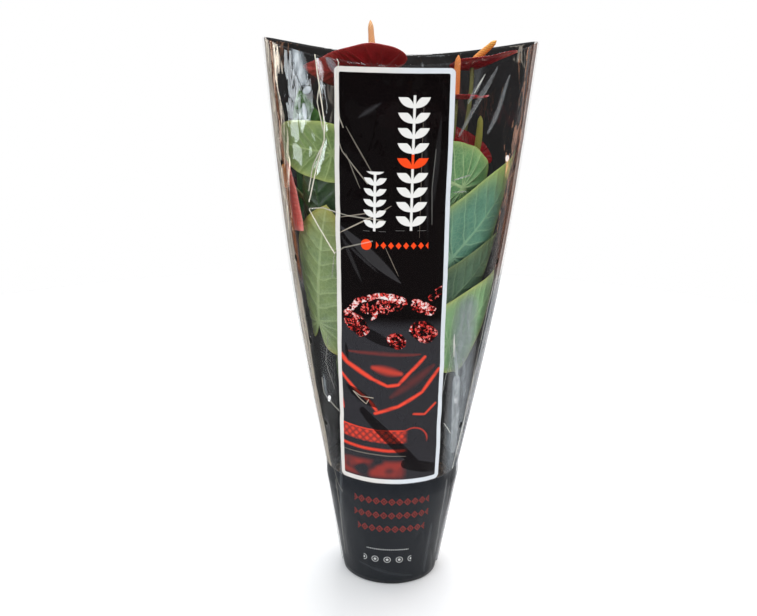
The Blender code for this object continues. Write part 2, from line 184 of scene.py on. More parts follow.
def add_piece(
    name: str, points: Array, faces: Faces, materials: Sequence[bpy.types.Material]
) -> bpy.types.Object:
    """Makes a smooth shaded mesh object.

    Args:
        name: the object's name.
        points: an array of points, three numbers each.
        faces: tuples of point indices.
        materials: the object's materials, in slot order.

    Returns:
        The new object, linked to the scene.
    """
    mesh = bpy.data.meshes.new(name)
    mesh.from_pydata(points.reshape(-1, 3).tolist(), [], faces)
    mesh.update()
    mesh.shade_smooth()
    for finish in materials:
        mesh.materials.append(finish)
    piece = bpy.data.objects.new(name, mesh)
    bpy.context.scene.collection.objects.link(piece)
    return piece


def add_map(piece: bpy.types.Object, name: str, flat: Array) -> None:
    """Gives a mesh a UV map from one pair of numbers for each point.

    Args:
        piece: the object.
        name: the map's name.
        flat: an array of pairs, one for each point.
    """
    layer = piece.data.uv_layers.new(name=name)
    corners = np.empty(len(piece.data.loops), np.int32)
    piece.data.loops.foreach_get("vertex_index", corners)
    layer.data.foreach_set("uv", flat.reshape(-1, 2)[corners].astype(np.float32).ravel())


def add_values(piece: bpy.types.Object, name: str, values: Array) -> None:
    """Stores one number for each point under a name that materials can read."""
    layer = piece.data.attributes.new(name, "FLOAT", "POINT")
    layer.data.foreach_set("value", values.astype(np.float32).ravel())


def join_shells(shells: Sequence[tuple[Array, Faces]]) -> tuple[Array, Faces]:
    """Puts several separate shapes into one list of points and one of faces."""
    points = []
    faces = []
    first = 0
    for shape, parts in shells:
        points.append(shape.reshape(-1, 3))
        faces += [tuple(first + corner for corner in part) for part in parts]
        first += len(points[-1])
    return np.concatenate(points), faces


def settle(piece: bpy.types.Object, slot: str, *nodes: str) -> None:
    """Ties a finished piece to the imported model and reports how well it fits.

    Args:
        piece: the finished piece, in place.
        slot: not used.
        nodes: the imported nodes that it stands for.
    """
    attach(piece, BODY)
    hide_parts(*nodes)
    points = np.array([corner[:] for corner in piece.bound_box])
    boxes = [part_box(node) for node in nodes]
    low = np.min([box[0][:] for box in boxes], axis=0)
    high = np.max([box[1][:] for box in boxes], axis=0)
    gap = max(np.abs(points.min(axis=0) - low).max(), np.abs(points.max(axis=0) - high).max())
    count = len(piece.data.polygons)
    LOG.info("%s: %d faces, corners within %.1f mm of the model", piece.name, count, gap / MM)


# ------------------------------------------------------------------ shader nodes

Feed = bpy.types.NodeSocket | float | tuple


class Sketch:
    """Adds shader nodes to one tree and links them."""

    def __init__(self, tree: bpy.types.NodeTree) -> None:
        """Keeps the tree that the nodes go into."""
        self.tree = tree

    def feed(self, socket: bpy.types.NodeSocket, value: Feed) -> None:
        """Links a socket to another one, or sets its own value."""
        if isinstance(value, bpy.types.NodeSocket):
            self.tree.links.new(value, socket)
        else:
            socket.default_value = value

    def node(
        self, kind: str, feeds: dict[str | int, Feed] | None = None, **settings: object
    ) -> bpy.types.Node:
        """Adds a node.

        Args:
            kind: the node's type without its ShaderNode prefix.
            feeds: what each of its inputs gets, by name or index.
            settings: the node's own settings.

        Returns:
            The new node.
        """
        made = self.tree.nodes.new("ShaderNode" + kind)
        for key, value in settings.items():
            setattr(made, key, value)
        for key, value in (feeds or {}).items():
            self.feed(made.inputs[key], value)
        return made

    def math(
        self, operation: str, first: Feed, second: Feed = 0.0, third: Feed = 0.0
    ) -> bpy.types.NodeSocket:
        """One sum of up to three values."""
        return self.node("Math", {0: first, 1: second, 2: third}, operation=operation).outputs[0]

    def vector(self, operation: str, first: Feed, second: Feed = (0.0, 0.0, 0.0)) -> bpy.types.NodeSocket:
        """One sum of two vectors, or the number that it gives."""
        made = self.node("VectorMath", {0: first, 1: second}, operation=operation)
        return made.outputs["Value" if operation in ("DOT_PRODUCT", "LENGTH") else "Vector"]

    def add(self, *values: Feed) -> bpy.types.NodeSocket:
        """The sum of several values."""
        total = values[0]
        for value in values[1:]:
            total = self.math("ADD", total, value)
        return total

    def times(self, *values: Feed) -> bpy.types.NodeSocket:
        """The product of several values."""
        total = values[0]
        for value in values[1:]:
            total = self.math("MULTIPLY", total, value)
        return total

    def minus(self, first: Feed, second: Feed) -> bpy.types.NodeSocket:
        """The difference of two values."""
        return self.math("SUBTRACT", first, second)

    def size(self, value: Feed) -> bpy.types.NodeSocket:
        """A value without its sign."""
        return self.math("ABSOLUTE", value)

    def either(self, *masks: Feed) -> bpy.types.NodeSocket:
        """The larger of several masks."""
        total = masks[0]
        for mask in masks[1:]:
            total = self.math("MAXIMUM", total, mask)
        return total

    def rise(self, value: Feed, low: Feed, high: Feed) -> bpy.types.NodeSocket:
        """A smooth step from 0 at low to 1 at high."""
        feeds = {"Value": value, "From Min": low, "From Max": high}
        return self.node("MapRange", feeds, interpolation_type="SMOOTHSTEP").outputs["Result"]

    def fall(self, value: Feed, low: Feed, high: Feed) -> bpy.types.NodeSocket:
        """A smooth step from 1 at low to 0 at high."""
        return self.minus(1.0, self.rise(value, low, high))

    def within(self, value: Feed, low: float, high: float, soft: float) -> bpy.types.NodeSocket:
        """A mask of the values from low to high, with soft ends."""
        middle, half = (low + high) / 2, (high - low) / 2
        return self.fall(self.size(self.minus(value, middle)), half - soft, half + soft)

    def blend(self, share: Feed, first: Feed, second: Feed) -> bpy.types.NodeSocket:
        """A colour between two colours."""
        return self.node("Mix", {0: share, 6: first, 7: second}, data_type="RGBA").outputs[2]

    def split(self, vector: Feed) -> bpy.types.bpy_prop_collection:
        """The three numbers of a vector."""
        return self.node("SeparateXYZ", {0: vector}).outputs

    def join(self, x: Feed, y: Feed, z: Feed = 0.0) -> bpy.types.NodeSocket:
        """A vector of three numbers."""
        return self.node("CombineXYZ", {0: x, 1: y, 2: z}).outputs[0]

    def noise(
        self, place: Feed, scale: Feed, detail: float = 2.0, distortion: float = 0.0
    ) -> bpy.types.NodeSocket:
        """Smooth noise from 0 to 1."""
        feeds = {"Vector": place, "Scale": scale, "Detail": detail, "Distortion": distortion}
        return self.node("TexNoise", feeds).outputs["Fac"]

    def ramp(self, value: Feed, stops: Sequence[tuple[float, Colour]]) -> bpy.types.NodeSocket:
        """A colour read from a row of colour stops."""
        made = self.node("ValToRGB", {0: value})
        elements = made.color_ramp.elements
        while len(elements) < len(stops):
            elements.new(1.0)
        for element, (place, colour) in zip(elements, stops, strict=True):
            element.position = place
            element.color = colour
        return made.outputs["Color"]

    def effect(self, tree: bpy.types.NodeTree, **feeds: Feed) -> bpy.types.bpy_prop_collection:
        """Places an effect's node group and gives its outputs, with underscores for spaces."""
        made = self.node("Group")
        made.node_tree = tree
        for key, value in feeds.items():
            self.feed(made.inputs[key.replace("_", " ")], value)
        return made.outputs

    def bump(self, height: Feed, distance: float, strength: float = 1.0) -> bpy.types.NodeSocket:
        """A normal bent by a height map."""
        feeds = {"Height": height, "Distance": distance, "Strength": strength}
        return self.node("Bump", feeds).outputs["Normal"]


def make_effect(
    name: str,
    inputs: dict[str, float | tuple],
    outputs: dict[str, type],
    fill: Callable[[Sketch, dict[str, bpy.types.NodeSocket]], dict[str, Feed]],
) -> bpy.types.NodeTree:
    """Builds a node group once, and finds it again after that.

    Args:
        name: the group's name.
        inputs: each input's name and default value.
        outputs: each output's name, and float or tuple for a value or a colour.
        fill: adds the nodes, and gives what feeds each output.

    Returns:
        The node group.
    """
    known = bpy.data.node_groups.get(name)
    if known:
        return known
    tree = bpy.data.node_groups.new(name, "ShaderNodeTree")
    kinds = {0: "NodeSocketFloat", 3: "NodeSocketVector", 4: "NodeSocketColor"}
    for key, value in inputs.items():
        width = len(value) if isinstance(value, tuple) else 0
        socket = tree.interface.new_socket(name=key, in_out="INPUT", socket_type=kinds[width])
        socket.default_value = value
    for key, kind in outputs.items():
        socket_type = "NodeSocketColor" if kind is tuple else "NodeSocketFloat"
        tree.interface.new_socket(name=key, in_out="OUTPUT", socket_type=socket_type)
    sketch = Sketch(tree)
    entry = tree.nodes.new("NodeGroupInput")
    leave = tree.nodes.new("NodeGroupOutput")
    made = fill(sketch, {key: entry.outputs[key] for key in inputs})
    for key, value in made.items():
        sketch.feed(leave.inputs[key], value)
    return tree


def mottle_effect() -> bpy.types.NodeTree:
    """Uneven patches with finer specks in them, for anything grown or moulded."""

    def fill(sketch: Sketch, given: dict[str, bpy.types.NodeSocket]) -> dict[str, Feed]:
        coarse = sketch.noise(given["Place"], given["Scale"], 3.0, 0.4)
        fine = sketch.noise(given["Place"], sketch.times(given["Scale"], 9.0), 2.0)
        both = sketch.add(sketch.times(coarse, 0.75), sketch.times(fine, 0.25))
        spread = sketch.times(sketch.minus(both, 0.5), given["Contrast"])
        return {"Amount": sketch.math("ADD", spread, 0.5), "Specks": fine}

    inputs = {"Place": (0.0, 0.0, 0.0), "Scale": 20.0, "Contrast": 2.0}
    return make_effect("mottle", inputs, {"Amount": float, "Specks": float}, fill)


def marks_effect() -> bpy.types.NodeTree:
    """Fine scuffs and settled dust, for plastic that has been handled."""

    def fill(sketch: Sketch, given: dict[str, bpy.types.NodeSocket]) -> dict[str, Feed]:
        x, y, z = sketch.split(given["Place"])
        long_way = sketch.join(sketch.times(x, 9.0), sketch.times(y, 9.0), z)
        hairs = sketch.noise(long_way, 60.0, 3.0, 0.6)
        scuffs = sketch.rise(hairs, 0.60, 0.75)
        dust = sketch.rise(sketch.noise(given["Place"], 900.0, 1.0), 0.66, 0.80)
        worn = sketch.rise(sketch.noise(given["Place"], 14.0, 2.0), 0.45, 0.70)
        return {"Scuffs": sketch.times(scuffs, worn), "Dust": dust}

    return make_effect("handling_marks", {"Place": (0.0, 0.0, 0.0)}, {"Scuffs": float, "Dust": float}, fill)


LATERALS = 8.0              # side veins along the whole midrib
LATERAL_RISE = 0.55         # how steeply a side vein leaves the midrib
LATERAL_BEND = 0.45         # how much it bends forward on its way out
FAN_STEP = 0.42             # radians between the veins that fan into the lobes


def vein_phase(across: Array, along: Array) -> Array:
    """Counts side veins over a blade: a vein runs wherever the count is a whole number.

    Args:
        across: distance from the midrib, as a share of the reach to the tip.
        along: distance from the stalk towards the tip, in the same share.

    Returns:
        The count at each place.
    """
    side = np.abs(across)
    rise = along - LATERAL_RISE * side - LATERAL_BEND * side**2
    start = np.arctan2(1.0, LATERAL_RISE + LATERAL_BEND * side)
    fan = (np.arctan2(side, along) - start) / FAN_STEP
    return np.where(rise > 0, rise * LATERALS, fan)


def vein_effect() -> bpy.types.NodeTree:
    """The midrib, the side veins and the fine net of veins of a heart-shaped blade."""

    def fill(sketch: Sketch, given: dict[str, bpy.types.NodeSocket]) -> dict[str, Feed]:
        across, along, _ = sketch.split(given["Place"])
        wander = sketch.times(sketch.minus(sketch.noise(given["Place"], 7.0, 1.0), 0.5), 0.05)
        side = sketch.size(across)
        bend = sketch.add(LATERAL_RISE, sketch.times(side, LATERAL_BEND))
        rise = sketch.add(sketch.minus(along, sketch.times(side, bend)), wander)
        forward = sketch.times(rise, LATERALS)
        fan = sketch.minus(sketch.math("ARCTAN2", side, along), sketch.math("ARCTAN2", 1.0, bend))
        fan = sketch.math("DIVIDE", fan, FAN_STEP)
        is_forward = sketch.rise(rise, -0.001, 0.001)
        out = sketch.math("SQRT", sketch.add(sketch.times(side, side), sketch.times(along, along)))
        forward_gap = sketch.math("DIVIDE", sketch.math("PINGPONG", forward, 0.5), LATERALS * 1.15)
        fan_gap = sketch.times(sketch.math("PINGPONG", fan, 0.5), FAN_STEP, out)
        gap = sketch.add(
            sketch.times(is_forward, forward_gap),
            sketch.times(sketch.minus(1.0, is_forward), fan_gap),
        )
        thin = sketch.times(given["Width"], sketch.minus(1.1, out))
        lateral = sketch.fall(gap, sketch.times(thin, 0.4), thin)
        rib_width = sketch.times(given["Width"], sketch.minus(1.9, sketch.times(along, 1.2)))
        rib = sketch.fall(side, sketch.times(rib_width, 0.5), rib_width)
        rib = sketch.times(rib, sketch.rise(along, -0.02, 0.01))
        net = sketch.node("TexVoronoi", {"Vector": given["Place"], "Scale": 26.0}, feature="DISTANCE_TO_EDGE")
        web = sketch.fall(net.outputs["Distance"], 0.02, 0.10)
        pillow = sketch.rise(gap, 0.0, 0.035)
        return {"Rib": rib, "Lateral": lateral, "Web": web, "Pillow": pillow}

    outputs = {"Rib": float, "Lateral": float, "Web": float, "Pillow": float}
    return make_effect("blade_veins", {"Place": (0.0, 0.0, 0.0), "Width": 0.010}, outputs, fill)


def crinkle_effect() -> bpy.types.NodeTree:
    """The small crackled creases of stiff clear film, as a height."""

    def fill(sketch: Sketch, given: dict[str, bpy.types.NodeSocket]) -> dict[str, Feed]:
        x, z, _ = sketch.split(given["Place"])
        tall = sketch.join(sketch.times(x, 2.6), z)
        broad = sketch.size(sketch.minus(sketch.noise(tall, 16.0, 1.0, 0.5), 0.5))
        small = sketch.size(sketch.minus(sketch.noise(tall, 60.0, 1.0, 0.3), 0.5))
        worked = sketch.rise(sketch.noise(given["Place"], 9.0, 1.0), 0.42, 0.62)
        height = sketch.add(broad, sketch.times(small, 0.22, worked))
        return {"Height": height}

    return make_effect("film_crinkle", {"Place": (0.0, 0.0, 0.0)}, {"Height": float}, fill)


@dataclass(frozen=True)
class Stroke:
    """A straight stroke on a sheet: places in mm from the middle line and from the ground."""

    start: tuple[float, float]
    end: tuple[float, float]
    width: float
    soft: float = 0.6
    strength: float = 1.0
    taper: float = 0.6


def chain(
    places: Sequence[tuple[float, float]], width: float, soft: float = 0.6, strength: float = 1.0
) -> list[Stroke]:
    """Strokes of one width from each place to the next."""
    return [Stroke(a, b, width, soft, strength, 0.15) for a, b in zip(places[:-1], places[1:], strict=True)]


def stroke_effect() -> bpy.types.NodeTree:
    """A soft straight stroke that narrows towards both ends, as a mask."""

    def fill(sketch: Sketch, given: dict[str, bpy.types.NodeSocket]) -> dict[str, Feed]:
        way = sketch.vector("SUBTRACT", given["End"], given["Start"])
        off = sketch.vector("SUBTRACT", given["Place"], given["Start"])
        length = sketch.vector("DOT_PRODUCT", way, way)
        share = sketch.math("DIVIDE", sketch.vector("DOT_PRODUCT", off, way), length)
        share = sketch.math("MINIMUM", sketch.math("MAXIMUM", share, 0.0), 1.0)
        foot = sketch.vector("MULTIPLY", way, sketch.join(share, share, share))
        away = sketch.vector("LENGTH", sketch.vector("SUBTRACT", off, foot))
        ends = sketch.minus(sketch.times(share, 2.0), 1.0)
        narrow = sketch.minus(1.0, sketch.times(ends, ends, given["Taper"]))
        half = sketch.times(given["Width"], narrow, 0.5)
        core = sketch.times(half, sketch.minus(1.0, given["Soft"]))
        return {"Mask": sketch.fall(away, core, half)}

    inputs = {
        "Place": (0.0, 0.0, 0.0), "Start": (0.0, 0.0, 0.0), "End": (0.0, 1.0, 0.0),
        "Width": 0.002, "Soft": 0.6, "Taper": 0.6,
    }
    return make_effect("stroke", inputs, {"Mask": float}, fill)


def draw_strokes(sketch: Sketch, place: Feed, strokes: Sequence[Stroke]) -> Feed:
    """Draws several strokes.

    Args:
        sketch: where their nodes go.
        place: the place on the sheet.
        strokes: the strokes.

    Returns:
        One mask of them all.
    """
    total: Feed = 0.0
    for stroke in strokes:
        start = (stroke.start[0] * MM, stroke.start[1] * MM, 0.0)
        end = (stroke.end[0] * MM, stroke.end[1] * MM, 0.0)
        drawn = sketch.effect(
            stroke_effect(), Place=place, Start=start, End=end, Width=stroke.width * MM, Soft=stroke.soft,
            Taper=stroke.taper,
        )
        total = sketch.either(total, sketch.times(drawn["Mask"], stroke.strength))
    return total


SATIN = (
    *chain([(-45, 226), (-39, 219), (-17, 206)], 6.0, 0.8),
    *chain([(-17, 206), (-3, 200), (6, 201.5), (16.5, 214), (28, 226.5)], 4.6, 0.8),
    Stroke((-16, 216), (8, 211.5), 12.0, 1.0, 0.62, 0.5),
    *chain([(-45, 209), (-30, 194), (-17.5, 185), (-12, 177.5)], 4.4, 0.8),
    *chain([(41, 214.5), (27, 194.5), (6.5, 181.5), (-13, 174.5)], 4.8, 0.8),
    *chain([(20, 174), (30, 173), (39.5, 182.5)], 3.2, 0.8, 0.85),
    Stroke((-45.5, 188), (-42.5, 175), 4.0, 0.9, 0.8),
    Stroke((0, 190), (36, 218), 12.0, 1.0, 0.10),
    Stroke((-38, 229), (24, 229), 6.0, 1.0, 0.16),
)
GEM_RIM = (
    *chain([(-40, 262), (-30, 274), (-14, 280.5), (1.5, 279.5), (9.5, 275.5)], 6.5, 0.3),
    Stroke((18, 276.5), (34, 268.5), 6.0, 0.2, 1.0, 0.3),
    Stroke((-12, 266), (-18, 259), 5.0, 0.5, 0.9),
)
GEM_BODY = (
    Stroke((-36, 258), (-26, 250), 17.0, 0.15, 1.0, 0.2),
    Stroke((-22, 268), (4, 273), 13.0, 0.15, 1.0, 0.2),
    Stroke((18, 272), (32, 266), 9.0, 0.15, 1.0, 0.2),
    Stroke((22, 251), (30, 247), 19.0, 0.15, 1.0, 0.1),
    Stroke((2, 242), (5, 240), 15.0, 0.15, 1.0, 0.1),
    Stroke((32, 279), (42, 286), 8.0, 0.15, 1.0, 0.2),
)
# Painted reflections on the black panel: soft light streaks where the film mirrors its surroundings.
PANEL_REFLECTIONS = (
    Stroke((-46, 338), (6, 292), 11.0, 0.25, 0.60, 0.95),
    Stroke((-44, 330), (-26, 291), 4.0, 0.4, 0.35, 0.95),
    Stroke((-44, 327), (-12, 300), 3.0, 0.4, 0.40, 0.95),
    Stroke((-30, 424), (-12, 436), 6.0, 1.0, 0.55, 0.9),
    Stroke((20, 440), (27, 330), 5.0, 0.8, 0.22, 0.9),
    Stroke((34, 425), (29, 350), 6.0, 0.5, 0.22, 0.9),
)
GAPS = (
    Stroke((-35, 253), (4, 235), 10.0, 0.1, 1.0, 0.95),
    Stroke((-40, 198), (-12, 180), 9.0, 0.1, 1.0, 0.95),
    Stroke((-24, 176), (26, 124), 10.0, 0.1, 1.0, 0.35),
    Stroke((14, 127), (40, 120), 11.0, 0.1, 1.0, 0.2),
    Stroke((-40, 236), (-38, 222), 3.5, 0.3, 1.0, 0.8),
)
SCRATCHES = (
    *chain([(-33, 193), (-26, 186), (-21, 182.5), (-19, 186.5)], 0.9, 0.5, 0.9),
    *chain([(-33, 193), (-26, 189), (-15, 188.5)], 0.9, 0.5, 0.9),
    Stroke((-7, 322), (4, 298), 0.9, 0.5, 0.35),
    Stroke((20, 440), (20, 330), 0.7, 0.5, 0.25),
    Stroke((-45, 136), (14, 134.5), 1.6, 0.8, 0.35),
    Stroke((-46, 331), (-12, 350), 1.4, 0.5, 0.8),
    Stroke((-46, 344), (-10, 352), 1.2, 0.5, 0.55),
    Stroke((-12, 350), (-3, 356), 1.2, 0.5, 0.5),
)


def panel_print_effect() -> bpy.types.NodeTree:
    """The front's tall black panel: a white frame, leaf sprays, facets, satin and padding."""

    def box_edge(sketch: Sketch, x: Feed, z: Feed, half_x: float, half_z: float, corner: float) -> Feed:
        out_x = sketch.math("MAXIMUM", sketch.minus(sketch.size(x), half_x - corner), 0.0)
        out_z = sketch.math("MAXIMUM", sketch.minus(sketch.size(z), half_z - corner), 0.0)
        away = sketch.math("SQRT", sketch.add(sketch.times(out_x, out_x), sketch.times(out_z, out_z)))
        return sketch.minus(away, corner)

    def spray(sketch: Sketch, x: Feed, z: Feed, middle: float, low: float, high: float, half: float) -> Feed:
        """A stem with pairs of pointed leaves, each pair one step above the last."""
        step = half * 0.86
        side = sketch.size(sketch.minus(x, middle))
        level = sketch.minus(sketch.math("FLOORED_MODULO", sketch.minus(z, low), step), step * 0.30)
        turn = math.radians(38)
        out = sketch.add(sketch.times(side, math.cos(turn)), sketch.times(level, math.sin(turn)))
        off = sketch.minus(sketch.times(level, math.cos(turn)), sketch.times(side, math.sin(turn)))
        reach = half * 0.60
        swell = sketch.minus(sketch.math("DIVIDE", out, reach), 1.0)
        room = sketch.times(sketch.minus(1.0, sketch.times(swell, swell)), half * 0.24)
        leaf = sketch.fall(sketch.minus(sketch.size(off), room), -0.0002, 0.0002)
        stem = sketch.fall(side, 0.0008, 0.0012)
        return sketch.times(sketch.either(leaf, stem), sketch.within(z, low, high, 0.0003))

    def spot(sketch: Sketch, x: Feed, z: Feed, at: tuple[float, float], size: tuple[float, float]) -> Feed:
        """Distance from a place, 1 on an oval round it."""
        dx = sketch.math("DIVIDE", sketch.minus(x, at[0]), size[0])
        dz = sketch.math("DIVIDE", sketch.minus(z, at[1]), size[1])
        return sketch.math("SQRT", sketch.add(sketch.times(dx, dx), sketch.times(dz, dz)))

    def fill(sketch: Sketch, given: dict[str, bpy.types.NodeSocket]) -> dict[str, Feed]:
        x, z, _ = sketch.split(given["Place"])
        middle_z = (PANEL_LOW + PANEL_HIGH) / 2
        half_z = (PANEL_HIGH - PANEL_LOW) / 2
        up = sketch.math("DIVIDE", sketch.minus(z, PANEL_LOW), PANEL_HIGH - PANEL_LOW)
        leaning = sketch.add(x, sketch.times(up, PANEL_LEAN))
        squared = sketch.math("DIVIDE", leaning, sketch.minus(1.0, sketch.times(up, PANEL_NARROWS)))
        edge = box_edge(sketch, squared, sketch.minus(z, middle_z), PANEL_WIDTH / 2, half_z, 0.004)
        inset = (PANEL_WIDTH / 2 - PANEL_FRAME, half_z - PANEL_FRAME, 0.0015)
        inner = sketch.fall(box_edge(sketch, squared, sketch.minus(z, middle_z), *inset), -0.0002, 0.0002)
        cover = sketch.fall(edge, -0.0002, 0.0002)
        black = shade(0.0035, 0.0022, 0.0022)

        white = shade(0.80, 0.79, 0.76)
        orange = shade(0.90, 0.070, 0.012)
        large = spray(sketch, x, z, 0.0130, 0.336, 0.442, 0.0135)
        small = spray(sketch, x, z, -0.0160, 0.335, 0.383, 0.0100)
        lit = sketch.either(large, small)
        accent = sketch.times(sketch.within(z, 0.3855, 0.3970, 0.0002), sketch.rise(x, 0.0, 0.0005))
        inkwork = sketch.blend(accent, white, orange)
        dot = sketch.fall(spot(sketch, x, z, (-0.0225, 0.3235), (0.0046, 0.0046)), 0.95, 1.0)
        beat = sketch.math("PINGPONG", sketch.minus(x, -0.0145), 0.0030)
        bead = sketch.add(sketch.times(beat, 1.25), sketch.size(sketch.minus(z, 0.3235)))
        beads = sketch.times(sketch.fall(bead, 0.0027, 0.0031), sketch.within(x, -0.0145, 0.0275, 0.0001))

        ripple = sketch.node("TexNoise", {"Vector": given["Place"], "Scale": 160.0}).outputs["Color"]
        wavy = sketch.vector("MULTIPLY", ripple, (0.004, 0.004, 0.0))
        offset = sketch.vector("SUBTRACT", wavy, (0.002, 0.002, 0.0))
        rough_place = sketch.vector("ADD", given["Place"], offset)
        gem_rim = draw_strokes(sketch, rough_place, GEM_RIM)
        gem_body = sketch.either(gem_rim, draw_strokes(sketch, rough_place, GEM_BODY))
        cells = sketch.node("TexVoronoi", {"Vector": given["Place"], "Scale": 330.0})
        shards = sketch.node("TexVoronoi", {"Vector": given["Place"], "Scale": 720.0})
        pick, _, _ = sketch.split(cells.outputs["Color"])
        chip, _, _ = sketch.split(shards.outputs["Color"])
        sparkle = sketch.add(sketch.times(pick, 0.50), sketch.times(chip, 0.50))
        jewel = sketch.ramp(
            sketch.add(sparkle, sketch.times(gem_rim, 0.30), -0.04),
            [
                (0.44, shade(0.004, 0.002, 0.002)),
                (0.54, shade(0.20, 0.006, 0.006)),
                (0.66, shade(0.66, 0.045, 0.035)),
                (0.78, shade(0.70, 0.19, 0.17)),
                (0.92, shade(0.78, 0.70, 0.68)),
            ],
        )

        dull = shade(0.030, 0.029, 0.033)
        lustre = sketch.noise(sketch.vector("MULTIPLY", given["Place"], (1.0, 2.2, 1.0)), 60.0, 1.0)
        gleam = sketch.times(draw_strokes(sketch, given["Place"], SATIN), sketch.rise(lustre, 0.10, 0.45))
        satin = sketch.blend(gleam, dull, shade(0.80, 0.070, 0.038))

        curve = sketch.minus(z, sketch.times(sketch.times(x, x), 1.5))
        quilt = sketch.times(
            sketch.size(sketch.math("SINE", sketch.times(sketch.add(x, z), 470.0))),
            sketch.size(sketch.math("SINE", sketch.times(sketch.minus(x, z), 470.0))),
        )
        left_part = sketch.fall(x, 0.010, 0.016)
        roll = sketch.times(sketch.within(curve, 0.1470, 0.1585, 0.0010), left_part)
        cord = sketch.within(curve, 0.1385, 0.1410, 0.0010)
        cord = sketch.times(sketch.either(cord, sketch.within(curve, 0.1580, 0.1592, 0.0004)), left_part)
        skirt = sketch.times(sketch.within(z, 0.1140, 0.1290, 0.0030), left_part, 0.35)
        ring = spot(sketch, x, z, (0.0205, 0.1495), (0.0130, 0.0120))
        ring_line = sketch.times(sketch.within(ring, 0.90, 1.0, 0.04), sketch.rise(z, 0.146, 0.152))
        red_share = sketch.either(
            sketch.times(roll, sketch.add(0.25, sketch.times(quilt, 0.75))),
            sketch.times(cord, 1.0),
            sketch.times(skirt, sketch.rise(sketch.noise(given["Place"], 60.0, 1.0), 0.35, 0.6)),
            sketch.times(ring_line, 0.6),
        )
        padding = sketch.blend(red_share, dull, shade(0.74, 0.060, 0.034))

        veiled = sketch.fall(z, 0.2500, 0.2620)
        gaps = draw_strokes(sketch, given["Place"], GAPS)
        colour = sketch.blend(veiled, black, satin)
        colour = sketch.blend(sketch.fall(z, 0.1640, 0.1660), colour, padding)
        dimmed = sketch.blend(0.80, colour, black)
        colour = sketch.blend(gaps, colour, dimmed)
        # Painted reflection: soft light streaks laid over the panel's black print.
        panel_reflections = sketch.times(draw_strokes(sketch, given["Place"], PANEL_REFLECTIONS), 0.8)
        colour = sketch.blend(panel_reflections, colour, shade(0.065, 0.063, 0.066))
        colour = sketch.blend(gem_body, colour, jewel)
        scratches = draw_strokes(sketch, given["Place"], SCRATCHES)
        colour = sketch.blend(scratches, colour, shade(0.46, 0.40, 0.32))
        colour = sketch.blend(lit, colour, inkwork)
        colour = sketch.blend(sketch.either(dot, beads), colour, orange)
        # Painted light: the frame's white is painted warm on the left and cool on the right, where the light
        # on the two sides differs in tint.
        warm_white, cool_white = shade(0.72, 0.69, 0.65), shade(0.68, 0.72, 0.76)
        frame_white = sketch.blend(sketch.rise(x, -0.02, 0.02), warm_white, cool_white)
        colour = sketch.blend(inner, frame_white, colour)
        return {"Colour": colour, "Cover": cover, "Inner": inner}

    outputs = {"Colour": tuple, "Cover": float, "Inner": float}
    return make_effect("panel_print", {"Place": (0.0, 0.0, 0.0)}, outputs, fill)


def foot_print_effect() -> bpy.types.NodeTree:
    """The dark print round the pot, with rows of small red and white ornaments in front."""

    def row(
        sketch: Sketch, x: Feed, z: Feed, level: float, half: float, step: float, size: float, line: float
    ) -> Feed:
        """A row of open diamonds, each drawn as a thin line."""
        beat = sketch.math("PINGPONG", sketch.add(x, half), step / 2)
        away = sketch.add(sketch.times(beat, size / step * 2.2), sketch.size(sketch.minus(z, level)))
        drawn = sketch.within(away, size - line, size, 0.00012)
        core = sketch.fall(away, size * 0.25, size * 0.30)
        return sketch.times(sketch.either(drawn, core), sketch.fall(sketch.size(x), half, half + 0.0002))

    def fill(sketch: Sketch, given: dict[str, bpy.types.NodeSocket]) -> dict[str, Feed]:
        x, z, _ = sketch.split(given["Place"])
        rows = [
            row(sketch, x, sketch.add(z, sketch.times(x, lean)), level, half, 0.0069, 0.0036, 0.0011)
            for level, half, lean in ((0.0900, 0.0345, 0.010), (0.0755, 0.0345, 0.0), (0.0610, 0.0311, 0.0))
        ]
        shifted = sketch.add(x, 0.0030)
        small = row(sketch, shifted, z, 0.0385, 0.0190, 0.0019, 0.0009, 0.0005)
        beat = sketch.math("PINGPONG", sketch.add(shifted, 0.0220), 0.0055)
        rise = sketch.minus(z, 0.0275)
        away = sketch.math("SQRT", sketch.add(sketch.times(beat, beat), sketch.times(rise, rise)))
        badge = sketch.either(sketch.within(away, 0.0026, 0.0032, 0.0002), sketch.fall(away, 0.0011, 0.0015))
        badge = sketch.times(badge, sketch.fall(sketch.size(shifted), 0.0220, 0.0224))
        front = given["Front"]
        red = sketch.times(sketch.either(*rows), front)
        white = sketch.times(sketch.either(sketch.times(small, 0.8), badge), front)
        colour = sketch.blend(red, shade(0.0135, 0.0155, 0.0190), shade(0.27, 0.030, 0.022))
        colour = sketch.blend(white, colour, shade(0.50, 0.51, 0.50))
        cover = sketch.fall(z, PANEL_LOW - 0.0006, PANEL_LOW - 0.0002)
        return {"Colour": colour, "Cover": cover}

    inputs = {"Place": (0.0, 0.0, 0.0), "Front": 1.0}
    return make_effect("foot_print", inputs, {"Colour": tuple, "Cover": float}, fill)


def start_material(name: str) -> tuple[bpy.types.Material, Sketch, bpy.types.Node]:
    """A new material, a sketch of its tree, and its Principled shader."""
    material = bpy.data.materials.new(name)
    material.use_nodes = True
    shader = material.node_tree.nodes["Principled BSDF"]
    return material, Sketch(material.node_tree), shader


# ------------------------------------------------------------------ finishes


